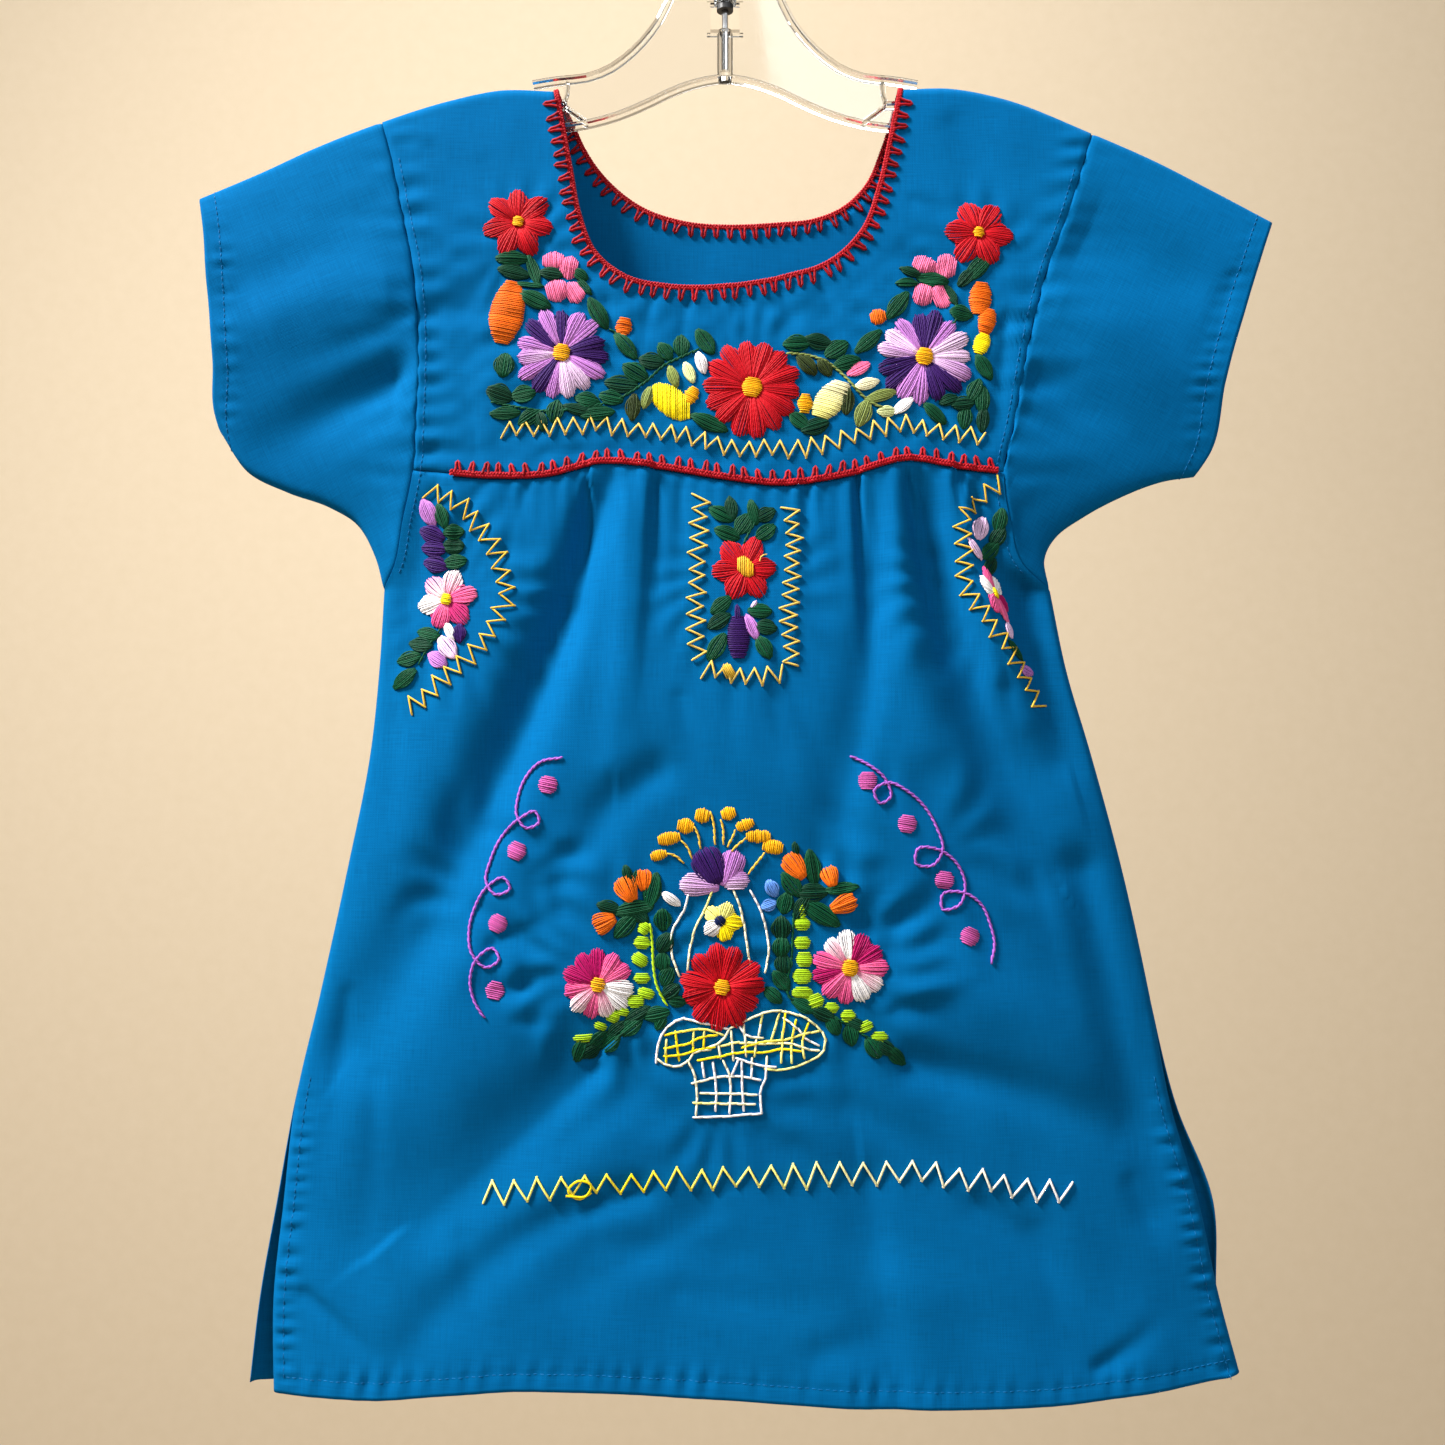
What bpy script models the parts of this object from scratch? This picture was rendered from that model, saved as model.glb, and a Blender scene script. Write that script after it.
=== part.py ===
# A child's embroidered tunic hanging flat on a clear plastic hanger.
#
# The origin is the inside top of the steel hook. X runs across the garment, as seen from
# the front, Y points away from the viewer and Z is up. Sizes are in millimetres.

import math

import bpy
import numpy as np

MM = 0.001

# Cloth
WALL = 1.3
SEAM_GAP = 0.3
FOLD_RADIUS = 6.5
EDGE_RADIUS = 4.0
SETTLE = 45.0
SEAM_HOLD = 0.85
SEAM_HOLD_LENGTH = 20.0
SIDE_CALM = 14.0
ARM_CALM = 6.0
FOLD_FADE = 0.45
PLEAT_FLARE = 0.5
PLEAT_DRIFT = 0.12
PLEAT_EDGE = (1.12, 0.24)

# Where the side seam meets the sleeve
UNDERARM_Z = -400.0
UNDERARM_LEFT_X = -172.0
UNDERARM_RIGHT_X = 164.0
YOKE_CORNER = 0.755
ARMHOLE_TOP_LEFT = (-177.0, -155.0)
ARMHOLE_TOP_RIGHT = (189.0, -161.0)

# Crochet
NECK_EDGE_RADIUS = 1.2
YOKE_EDGE_HALF_WIDTH = 1.9
YOKE_EDGE_HALF_DEPTH = 0.9
YOKE_EDGE_GAP = 0.7
YOKE_EDGE_ENDS = (-137.0, 136.0)

# Hanger
RAIL_HALF_HEIGHT = 2.3
RAIL_HALF_DEPTH = 3.2
ARM_CLEARANCE = 0.9
WEB_HALF_DEPTH = 0.9
WIRE_RADIUS = 1.6
HOOK_INNER_RADIUS = 20.0
FERRULE_RADIUS = 4.0

# Shoulder line, neck point to sleeve tip: left x, left z, right x, right z
SHOULDER = [
    (-88.5, -138.5, 92.0, -137.5),
    (-116.0, -138.0, 116.0, -137.0),
    (-142.0, -143.5, 142.0, -142.0),
    (-177.0, -155.0, 189.0, -161.0),
    (-213.0, -169.5, 224.0, -177.0),
    (-237.0, -181.0, 250.0, -191.0),
    (-270.0, -195.5, 281.0, -208.0),
]

# Armhole seam: share of the drop from shoulder to underarm, left x, right x
ARMHOLE = [
    (0.00, -177.0, 189.0),
    (0.07, -172.0, 184.0),
    (0.20, -165.0, 174.0),
    (0.32, -158.5, 163.0),
    (0.48, -155.0, 153.0),
    (0.65, -155.0, 145.0),
    (0.755, -156.0, 139.5),
    (0.86, -161.0, 142.5),
    (0.96, -166.5, 151.5),
    (1.00, -172.0, 164.0),
]

# Side seam and slit edge: z, front left x, front right x, back left x, back right x
SIDES = [
    (-400.0, -172.0, 164.0, -172.0, 164.0),
    (-440.0, -173.8, 171.5, -173.8, 171.5),
    (-480.0, -177.3, 182.5, -177.3, 182.5),
    (-540.0, -188.0, 197.5, -188.0, 197.5),
    (-600.0, -200.0, 209.5, -200.0, 209.5),
    (-655.0, -211.5, 219.0, -212.0, 222.0),
    (-700.0, -215.5, 231.0, -219.5, 239.0),
    (-745.0, -219.0, 239.5, -227.0, 240.0),
    (-792.0, -217.5, 251.0, -232.0, 241.0),
]
SLIT_TOP_Z = -655.0
SLIT_PART = 3.5
SLIT_REACH = 30.0

# Neck edge from the left shoulder round to the right: front x, front z, back x, back z
NECK = [
    (-88.5, -138.5, -88.5, -138.5),
    (-84.5, -160.0, -81.5, -152.0),
    (-80.0, -185.0, -75.0, -166.0),
    (-75.5, -208.0, -67.5, -177.5),
    (-67.5, -228.0, -56.5, -189.0),
    (-52.0, -241.5, -42.5, -198.5),
    (-28.0, -247.0, -24.0, -204.8),
    (0.0, -247.0, 0.0, -207.0),
    (28.0, -242.5, 27.0, -206.0),
    (55.0, -233.0, 48.0, -203.5),
    (71.5, -216.0, 63.0, -197.0),
    (80.0, -193.0, 74.5, -186.0),
    (86.0, -167.0, 84.0, -165.0),
    (92.0, -137.5, 92.0, -137.5),
]

# Front yoke seam: x, z. The back one is straight.
YOKE_SEAM = [
    (-156.0, -340.0),
    (-114.0, -344.0),
    (-87.0, -343.0),
    (-65.0, -337.5),
    (-38.0, -339.0),
    (0.0, -345.0),
    (28.0, -348.0),
    (62.0, -343.0),
    (94.0, -335.5),
    (112.0, -338.5),
    (139.5, -341.5),
]

# Hem: share of the width from the left, drop below a line through the corners
HEM_FRONT_CORNERS = (-789.0, -780.0)
HEM_FRONT = [
    (0.0, 0.0), (0.10, 1.5), (0.25, -2.5), (0.42, 1.0),
    (0.62, 8.5), (0.80, 9.0), (0.93, 4.0), (1.0, 0.0),
]
HEM_BACK_CORNERS = (-788.0, -782.0)
HEM_BACK = [(0.0, 0.0), (0.3, 4.0), (0.7, 4.0), (1.0, 0.0)]

# How far each side stands out from the middle: z, front, back
BULGE = [
    (-130.0, 3.0, 3.0),
    (-250.0, 6.0, 6.0),
    (-345.0, 10.0, 8.0),
    (-450.0, 19.0, 12.0),
    (-600.0, 15.5, 12.0),
    (-700.0, 12.5, 11.0),
    (-800.0, 16.0, 12.0),
]

# Folds: start x, z, bend x, z, end x, z, half-width at start and end, depth (inwards positive), lean
FRONT_FOLDS = [
    (-60, -346, -94, -476, -178, -622, 8, 22, 10.0, 0.08),
    (-47, -352, -48, -420, -52, -486, 11, 14, -4.2, -0.3),
    (-34, -492, -62, -508, -84, -545, 9, 12, 3.0),
    (73, -347, 84, -413, 50, -528, 5, 13, 4.4, 0.2),
    (99, -345, 114, -457, 158, -535, 7, 19, 8.0, 0.15),
    (83, -346, 87, -410, 98, -478, 7, 12, -3.2),
    (116, -348, 126, -404, 151, -462, 9, 12, -3.6),
    (146, -342, 151, -400, 170, -480, 15, 20, 9.5, -0.2),
    (176, -540, 188, -604, 208, -700, 10, 14, 4.4),
    (94, -597, 134, -594, 172, -632, 14, 20, -3.4),
    (90, -632, 144, -642, 188, -664, 9, 14, 3.8),
    (-66, -634, -94, -664, -148, -706, 15, 22, 7.0, 0.35),
    (-42, -640, -84, -676, -140, -716, 9, 12, 2.2),
    (-42, -692, -106, -706, -150, -766, 8, 12, 2.6),
    (66, -688, 70, -730, 80, -790, 15, 13, 3.0, 0.3),
    (-150, -345, -156, -380, -160, -430, 6, 14, 2.5),
]
BACK_FOLDS = [
    (-60, -345, -64, -450, -100, -590, 9, 24, 7.0),
    (-30, -345, -30, -420, -36, -520, 8, 18, -3.0),
    (34, -345, 36, -430, 46, -560, 8, 20, 5.0),
    (66, -345, 72, -420, 92, -520, 8, 20, -2.8),
    (118, -350, 128, -430, 158, -560, 9, 22, 6.5),
    (-124, -350, -130, -430, -160, -540, 9, 22, 5.5),
    (-70, -640, -96, -690, -104, -750, 18, 24, 3.0),
    (60, -660, 82, -700, 90, -760, 18, 22, 3.0),
]
YOKE_FOLDS = [
    (-96, -232, -120, -246, -150, -268, 9, 12, 1.3),
    (92, -230, 116, -246, 146, -262, 9, 12, 1.3),
]
LEFT_SLEEVE_FOLDS = [
    (-156, -288, -196, -308, -238, -342, 10, 18, 7.0),
    (-158, -240, -200, -252, -256, -276, 15, 20, -3.6),
    (-166, -372, -178, -352, -206, -340, 8, 14, 2.4),
]
RIGHT_SLEEVE_FOLDS = [
    (152, -214, 200, -226, 256, -248, 17, 18, 4.0),
    (150, -290, 190, -312, 226, -340, 10, 16, 3.0),
    (160, -256, 206, -274, 250, -298, 15, 20, -3.0),
    (146, -366, 166, -352, 198, -340, 8, 14, 2.4),
]

# Pleats laid under the yoke: left x, right x, height, length
PLEATS = [
    (-67.0, -36.0, 2.9, 90.0),
    (67.0, 92.0, 2.9, 80.0),
    (92.0, 114.0, 2.2, 60.0),
]
BACK_PLEATS = [
    (-58.0, -30.0, 2.2, 60.0),
    (34.0, 64.0, 2.2, 60.0),
]

# Sleeve underside: share from underarm to cuff, left x, z, right x, z
UNDERSIDE = [
    (0.0, -172.0, -400.0, 164.0, -400.0),
    (0.14, -177.0, -382.0, 161.5, -384.0),
    (0.28, -186.0, -366.0, 168.0, -371.5),
    (0.42, -200.0, -357.0, 182.0, -361.5),
    (0.62, -222.0, -349.0, 203.0, -350.5),
    (0.82, -243.0, -338.0, 222.0, -343.5),
    (1.0, -256.0, -319.0, 238.0, -341.0),
]

# Cuff edge: share from tip to underside, left x, z, right x, z
CUFF = [
    (0.0, -270.0, -195.5, 281.0, -208.0),
    (0.10, -267.0, -208.0, 276.0, -220.0),
    (0.40, -262.5, -245.0, 264.0, -256.0),
    (0.70, -258.5, -283.0, 252.0, -295.0),
    (0.92, -258.5, -309.0, 245.0, -330.0),
    (1.0, -256.0, -319.0, 238.0, -341.0),
]
CUFF_DEPTH = (11.0, 9.0)
CUFF_EDGE_RADIUS = 3.5
CUFF_SETTLE = 30.0
SHOULDER_SLOPE = 0.55
BACK_FOLD_SHARE = 0.7

# Hanger, right half: x, z. Upper rail from the top of its neck out to the tongue.
UPPER_RAIL = [
    (0.0, -64.0), (8.0, -65.5), (17.0, -71.0), (24.0, -79.0), (29.0, -88.0), (33.5, -98.0),
    (41.0, -109.0), (50.0, -118.5), (61.0, -126.5), (73.0, -130.8), (84.0, -131.9),
    (93.0, -133.2), (99.5, -134.4),
]
# Lower rail from its crest out to the rib, then the arm's underside
LOWER_RAIL = [
    (0.0, -131.0), (13.0, -133.0), (26.5, -137.6), (41.0, -144.8), (55.5, -151.0),
    (73.0, -155.8), (90.0, -158.0), (120.0, -161.0), (146.0, -166.5), (156.0, -169.0),
]
ARM_TIP = [(162.0, -167.5), (165.0, -162.5), (163.5, -158.0)]
ARM_SPAN = (157.0, 100.0)
NOTCH_X = 83.0
NOTCH_Z = -145.8
RIB_TOP = [(81.5, -132.5), (81.8, -139.0)]
RIB_FOOT = (71.5, -154.5)
RIB_HALF = 1.3

# Hanger's middle: radius, bottom and top of its round bars and of their bores
SOCKET = (4.2, -131.0, -104.5)
NECK_BOSS = (6.0, -90.0, -64.5)
STEM_BORE = (WIRE_RADIUS + SEAM_GAP, -127.5, -100.0)
FERRULE_BORE = (FERRULE_RADIUS + SEAM_GAP, -95.0, -50.0)
FERRULE = (FERRULE_RADIUS, -91.0, -60.0)
WASHER = (FERRULE_RADIUS + 0.3, -94.3, -91.3)

# Window round the ferrule's foot: half width, bottom and top, and its rim
WINDOW = (7.6, -105.6, -90.9)
WINDOW_RIM = 1.8
WINDOW_RIM_HALF_DEPTH = 2.6

# Hook: stem's foot and top, the bend into the loop, and the loop's start and end angle
STEM_LEVELS = (-126.8, -116.0, -105.0, -94.0, -80.0, -66.0, -56.0)
STEM_BEND = [(-1.2, -48.0), (-5.5, -42.5)]
LOOP_ANGLES = (238.0, -28.0)

# Stations along the armhole, as shares of its drop
YOKE_STATIONS = [0.0, 0.010, 0.030, 0.075, 0.15, 0.27, 0.42, 0.58, YOKE_CORNER]
SKIRT_STATIONS = [YOKE_CORNER, 0.84, 0.91, 0.96, 0.988, 1.0]

YOKE_ROWS = 7
YOKE_SEAM_COLUMNS = 20
SKIRT_COLUMNS = 2 * YOKE_SEAM_COLUMNS
BACK_COLUMNS = 22
FRONT_SIDE_ROWS = 17
BACK_SIDE_ROWS = 12
SLEEVE_ROWS = 8


def clear_scene():
    """Remove the objects of the scene that the script starts in."""
    for old in list(bpy.data.objects):
        bpy.data.objects.remove(old, do_unlink=True)


def make_material(name, color, roughness, metallic=0.0, transmission=0.0):
    """A Principled material."""
    material = bpy.data.materials.new(name)
    material.use_nodes = True
    shader = material.node_tree.nodes["Principled BSDF"]
    shader.inputs["Base Color"].default_value = (*color, 1.0)
    shader.inputs["Roughness"].default_value = roughness
    shader.inputs["Metallic"].default_value = metallic
    shader.inputs["Transmission Weight"].default_value = transmission
    return material


def smooth(keys, values, at):
    """Read a smooth curve through the values at the keys."""
    keys, values, at = (np.asarray(part, float) for part in (keys, values, at))
    if keys[0] > keys[-1]:
        keys, values = keys[::-1], values[::-1]
    slopes = np.gradient(values, keys)
    place = np.clip(np.searchsorted(keys, at) - 1, 0, len(keys) - 2)
    width = keys[place + 1] - keys[place]
    u = np.clip((at - keys[place]) / width, 0.0, 1.0)
    rise = values[place + 1] - values[place]
    bend_0 = slopes[place] * width - rise
    bend_1 = rise - slopes[place + 1] * width
    return values[place] + u * rise + u * (1 - u) * ((1 - u) * bend_0 + u * bend_1)


def column(table, index):
    """One column of a table."""
    return [row[index] for row in table]


def round_off(distance, radius):
    """Height of a quarter circle of one radius, at a distance in from its edge."""
    u = np.clip(distance / radius, 0.0, 1.0)
    return np.sqrt(1.0 - (1.0 - u) ** 2)


def unit(vectors):
    """Vectors scaled to length one."""
    length = np.linalg.norm(vectors, axis=-1, keepdims=True)
    return vectors / np.maximum(length, 1e-9)


def shoulder_z(x):
    """Height of the shoulder line over the body and both sleeves."""
    left = smooth(column(SHOULDER, 0), column(SHOULDER, 1), np.minimum(x, SHOULDER[0][0]))
    right = smooth(column(SHOULDER, 2), column(SHOULDER, 3), np.maximum(x, SHOULDER[0][2]))
    return np.where(np.asarray(x) < 0, left, right)


def armhole_point(share, side):
    """A point of the armhole seam, in x and z. Side 0 is the left and 1 the right."""
    top = (ARMHOLE_TOP_LEFT, ARMHOLE_TOP_RIGHT)[side]
    x = smooth(column(ARMHOLE, 0), column(ARMHOLE, 1 + side), share)
    z = top[1] + np.asarray(share) * (UNDERARM_Z - top[1])
    return x, z


def side_x(z, front, side):
    """The side seam's x at a height, front or back, left or right."""
    return smooth(column(SIDES, 0), column(SIDES, (1 if front else 3) + side), z)


def fold_depth(x, z, folds):
    """How far the folds press the cloth in at a point. A lean makes one side steeper."""
    depth = np.zeros(np.shape(x))
    steps = np.linspace(0.0, 1.0, 25)
    for x0, z0, x1, z1, x2, z2, start_width, end_width, height, *lean in folds:
        along_x = (1 - steps) ** 2 * x0 + 2 * steps * (1 - steps) * x1 + steps ** 2 * x2
        along_z = (1 - steps) ** 2 * z0 + 2 * steps * (1 - steps) * z1 + steps ** 2 * z2
        gap = np.hypot(x[..., None] - along_x, z[..., None] - along_z)
        nearest = np.argmin(gap, axis=-1)
        reach = steps[nearest]
        off_x, off_z = x - along_x[nearest], z - along_z[nearest]
        cross = np.gradient(along_x)[nearest] * off_z - np.gradient(along_z)[nearest] * off_x
        width = start_width + (end_width - start_width) * reach
        width = width * (1.0 - np.where(cross < 0, -1.0, 1.0) * (lean[0] if lean else 0.0))
        fade = 1.0 - FOLD_FADE * reach ** 2
        depth += height * fade * np.exp(-(np.min(gap, axis=-1) / width) ** 2)
    return depth


def pleat_height(x, z, seam_z, pleats):
    """How far the pleats raise the cloth below a seam."""
    height = np.zeros(np.shape(x))
    for left, right, rise, length in pleats:
        below = np.clip((seam_z - z) / length, 0.0, 1.0)
        middle = (left + right) / 2 * (1.0 + PLEAT_DRIFT * below)
        across = np.abs(x - middle) / ((right - left) / 2 * (1.0 + PLEAT_FLARE * below))
        edge = np.clip((PLEAT_EDGE[0] - across) / PLEAT_EDGE[1], 0.0, 1.0)
        height += rise * (1.0 - below) ** 1.5 * edge ** 2 * (3 - 2 * edge)
    return height


def body_depth(x, z, front):
    """How far the body's cloth stands from the middle plane."""
    below = np.maximum(shoulder_z(x) - z, 0.0)
    left = np.where(z < UNDERARM_Z, x - side_x(z, front, 0),
                    np.hypot(x - UNDERARM_LEFT_X, z - UNDERARM_Z))
    right = np.where(z < UNDERARM_Z, side_x(z, front, 1) - x,
                     np.hypot(x - UNDERARM_RIGHT_X, z - UNDERARM_Z))
    inside = np.maximum(np.minimum(left, right), 0.0)
    rim = FOLD_RADIUS + (EDGE_RADIUS - FOLD_RADIUS) * np.exp(-inside / SETTLE)
    rounding = rim * round_off(below, FOLD_RADIUS) * round_off(inside, EDGE_RADIUS)
    bulge = smooth(column(BULGE, 0), column(BULGE, 1 if front else 2), z)
    return rounding + bulge * (1 - np.exp(-below / SETTLE)) * (1 - np.exp(-inside / SETTLE))


def coons(top, bottom, left, right):
    """Fill a grid between four edges, each a list of points from left to right or top down."""
    down = chord_share(left, right)[:, None, None]
    across = chord_share(top, bottom)[None, :, None]
    ruled = (1 - down) * top[None] + down * bottom[None]
    ruled = ruled + (1 - across) * left[:, None] + across * right[:, None]
    corners = ((1 - down) * ((1 - across) * top[0] + across * top[-1])
               + down * ((1 - across) * bottom[0] + across * bottom[-1]))
    return ruled - corners


def chord_share(one, other):
    """Mean share of the length reached at each point of two matching edges."""
    total = 0.0
    for edge in (one, other):
        lengths = np.concatenate([[0.0], np.cumsum(np.linalg.norm(np.diff(edge, axis=0), axis=1))])
        total = total + lengths / lengths[-1]
    return total / 2


def surface_normals(grid, ring=False):
    """Unit normals of a grid of points."""
    if ring:
        across = np.roll(grid, -1, axis=1) - np.roll(grid, 1, axis=1)
    else:
        across = np.gradient(grid, axis=1)
    return unit(np.cross(across, np.gradient(grid, axis=0)))


def wall_object(name, outer, inward, material, ring=False, wall=WALL):
    """A closed wall between a grid of outer points and the same points moved inwards."""
    inner = outer + inward * wall
    rows, columns = outer.shape[:2]
    count = rows * columns
    points = np.concatenate([outer.reshape(-1, 3), inner.reshape(-1, 3)])

    def index(row, col, layer):
        return layer * count + row * columns + col % columns

    faces = []
    spans = columns if ring else columns - 1
    for row in range(rows - 1):
        for col in range(spans):
            faces.append([index(row, col, 0), index(row, col + 1, 0),
                          index(row + 1, col + 1, 0), index(row + 1, col, 0)])
            faces.append([index(row, col, 1), index(row + 1, col, 1),
                          index(row + 1, col + 1, 1), index(row, col + 1, 1)])
    for col in range(spans):
        faces.append([index(0, col, 0), index(0, col, 1), index(0, col + 1, 1), index(0, col + 1, 0)])
        last = rows - 1
        faces.append([index(last, col, 0), index(last, col + 1, 0),
                      index(last, col + 1, 1), index(last, col, 1)])
    if not ring:
        last = columns - 1
        for row in range(rows - 1):
            faces.append([index(row, 0, 0), index(row + 1, 0, 0), index(row + 1, 0, 1), index(row, 0, 1)])
            faces.append([index(row, last, 0), index(row, last, 1),
                          index(row + 1, last, 1), index(row + 1, last, 0)])
    return mesh_object(name, points, faces, material)


def mesh_object(name, points, faces, material):
    """An object from points in millimetres and faces, turned to face outwards."""
    volume = 0.0
    for face in faces:
        for second, third in zip(face[1:-1], face[2:]):
            volume += np.dot(points[face[0]], np.cross(points[second], points[third]))
    if volume < 0:
        faces = [face[::-1] for face in faces]
    mesh = bpy.data.meshes.new(name)
    mesh.from_pydata([tuple(point * MM) for point in points], [], faces)
    mesh.update()
    mesh.materials.append(material)
    mesh.shade_smooth()
    mesh.set_sharp_from_angle(angle=math.radians(50))
    result = bpy.data.objects.new(name, mesh)
    bpy.context.scene.collection.objects.link(result)
    return result


def swept_bar(name, path, up, half_up, half_side, material, sides=8, closed=False):
    """A bar of oval section along a path. Up gives the section's first axis at each point."""
    path, up = np.asarray(path, float), np.asarray(up, float)
    if closed:
        along = unit(np.roll(path, -1, axis=0) - np.roll(path, 1, axis=0))
    else:
        along = unit(np.gradient(path, axis=0))
    up = unit(up - along * np.sum(up * along, axis=1, keepdims=True))
    side = np.cross(along, up)
    angles = np.arange(sides) * 2 * math.pi / sides
    rings = (path[:, None] + np.cos(angles)[None, :, None] * up[:, None] * half_up
             + np.sin(angles)[None, :, None] * side[:, None] * half_side)
    count = len(path)
    faces = []
    for ring in range(count if closed else count - 1):
        following = (ring + 1) % count
        for k in range(sides):
            nxt = (k + 1) % sides
            faces.append([ring * sides + k, ring * sides + nxt,
                          following * sides + nxt, following * sides + k])
    if not closed:
        faces.append([k for k in range(sides)][::-1])
        faces.append([(count - 1) * sides + k for k in range(sides)])
    return mesh_object(name, rings.reshape(-1, 3), faces, material)


def spread(points, count):
    """Points evenly spaced on a smooth curve through the given ones."""
    points = np.asarray(points, float)
    reach = np.concatenate([[0.0], np.cumsum(np.linalg.norm(np.diff(points, axis=0), axis=1))])
    at = np.linspace(0.0, reach[-1], count)
    return np.stack([smooth(reach, points[:, k], at) for k in range(points.shape[1])], axis=1)


def neck_edge(front, count):
    """The neck edge in x and z, left to right, with closer points at the shoulders."""
    first = 0 if front else 2
    even = spread([(row[first], row[first + 1]) for row in NECK], 161)
    shares = np.linspace(0.0, 1.0, count - 4)
    shares = np.concatenate([[0.0, 0.006, 0.018], shares[1:-1], [0.982, 0.994, 1.0]])
    places = shares * (len(even) - 1)
    return np.stack([np.interp(places, np.arange(len(even)), even[:, k]) for k in (0, 1)], axis=1)


def seam_z(x, front):
    """Height of the yoke seam, in straight steps that both its panels share."""
    knots = np.linspace(YOKE_SEAM[0][0], YOKE_SEAM[-1][0], YOKE_SEAM_COLUMNS + 1 if front else 2)
    return np.interp(x, knots, smooth(column(YOKE_SEAM, 0), column(YOKE_SEAM, 1), knots))


def yoke_grid(front):
    """Outer points of a yoke: rows from the neck out, columns round the neck."""
    left_x, left_z = armhole_point(YOKE_STATIONS, 0)
    right_x, right_z = armhole_point(YOKE_STATIONS[::-1], 1)
    seam_x = np.linspace(left_x[-1], right_x[0], YOKE_SEAM_COLUMNS + 1)[1:-1]
    rim_x = np.concatenate([left_x, seam_x, right_x])
    rim_z = np.concatenate([left_z, seam_z(seam_x, front), right_z])
    rim = np.stack([rim_x, rim_z], axis=1)
    neck = neck_edge(front, len(rim))
    shoulders = []
    for end in (0, -1):
        x = np.linspace(neck[end, 0], rim[end, 0], YOKE_ROWS + 1)
        shoulders.append(np.stack([x, shoulder_z(x)], axis=1))
    flat = coons(neck, rim, *shoulders)
    depth = body_depth(flat[..., 0], flat[..., 1], front)
    depth -= fold_depth(flat[..., 0], flat[..., 1], YOKE_FOLDS)
    depth[:, 0] = depth[:, -1] = SEAM_GAP / 2
    return np.stack([flat[..., 0], depth * (-1 if front else 1), flat[..., 1]], axis=-1)


def yoke(name, front, material):
    """A yoke with its seam edges parted from the skirt and the sleeves."""
    grid = yoke_grid(front)
    inward = inward_normals(grid, front)
    corner = len(YOKE_STATIONS)
    inward[-1, :corner] = ring_inward(grid[-1, :corner], 0, front)
    inward[-1, -corner:] = ring_inward(grid[-1, -corner:], 1, front)
    inward[-1, corner - 1:1 - corner] = level(inward[-1, corner - 1:1 - corner])
    inward[:, 0] = inward[:, -1] = (0.0, 0.0, -1.0)
    grid[-1, :corner, 0] += SEAM_GAP / 2
    grid[-1, -corner:, 0] -= SEAM_GAP / 2
    grid[-1, corner - 1:1 - corner, 2] += SEAM_GAP / 2
    return wall_object(name, grid, inward, material)


def inward_normals(grid, front):
    """Normals that point to the garment's inside."""
    normals = surface_normals(grid)
    wanted = 1.0 if front else -1.0
    turned = np.where(np.sum(normals[..., 1]) * wanted < 0, -1.0, 1.0)
    return normals * turned


def level(vectors):
    """Vectors laid level."""
    return unit(vectors * np.array([1.0, 1.0, 0.0]))


def ring_inward(edge, side, front):
    """Directions across an armhole edge, square to the seam, into the sleeve's hollow."""
    along = np.gradient(edge, axis=0)
    across = np.stack([np.zeros(len(edge)), along[:, 2], -along[:, 1]], axis=1)
    across = unit(across)
    wanted = 1.0 if front else -1.0
    middle = len(edge) // 2
    if across[middle, 1] * wanted < 0:
        across = -across
    return across


def skirt_grid(front):
    """Outer points of a skirt panel: rows down, columns across."""
    rows = FRONT_SIDE_ROWS if front else BACK_SIDE_ROWS
    columns = SKIRT_COLUMNS if front else BACK_COLUMNS
    corners = HEM_FRONT_CORNERS if front else HEM_BACK_CORNERS
    edges = []
    for side in (0, 1):
        arm_x, arm_z = armhole_point(SKIRT_STATIONS, side)
        seam_levels = np.linspace(0.0, 1.0, rows + 1)[1:] * (corners[side] - UNDERARM_Z) + UNDERARM_Z
        x = np.concatenate([arm_x, side_x(seam_levels, front, side)])
        z = np.concatenate([arm_z, seam_levels])
        edges.append(np.stack([x, z], axis=1))
    left, right = edges
    share = np.linspace(0.0, 1.0, columns + 1)[1:-1]
    share = np.concatenate([[0.0, 0.006, 0.016], share, [0.984, 0.994, 1.0]])
    top_x = left[0, 0] + share * (right[0, 0] - left[0, 0])
    top = np.stack([top_x, seam_z(top_x, front)], axis=1)
    hem = HEM_FRONT if front else HEM_BACK
    hem_x = left[-1, 0] + share * (right[-1, 0] - left[-1, 0])
    hem_z = corners[0] + share * (corners[1] - corners[0]) - smooth(column(hem, 0), column(hem, 1), share)
    flat = coons(top, np.stack([hem_x, hem_z], axis=1), left, right)
    x, z = flat[..., 0], flat[..., 1]
    depth = body_depth(x, z, front)
    inside = np.minimum(x - x[:, :1], x[:, -1:] - x)
    calm = 1 - np.exp(-(inside / SIDE_CALM) ** 2)
    arm_rows = len(SKIRT_STATIONS) - 1
    calm[:arm_rows] = 1 - np.exp(-np.maximum(inside[:arm_rows], 0.0) / ARM_CALM)
    seam = seam_z(x, front)
    free = 1 - SEAM_HOLD * np.exp(-((seam - z) / SEAM_HOLD_LENGTH) ** 2)
    depth -= fold_depth(x, z, FRONT_FOLDS if front else BACK_FOLDS) * calm * free
    depth += pleat_height(x, z, seam, PLEATS if front else BACK_PLEATS) * calm
    part = SLIT_PART * np.clip((SLIT_TOP_Z - z) / (SLIT_TOP_Z - corners[0]), 0.0, 1.0)
    depth = np.maximum(depth, SEAM_GAP / 2) + part * np.exp(-inside / SLIT_REACH)
    return np.stack([x, depth * (-1 if front else 1), z], axis=-1)


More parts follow.
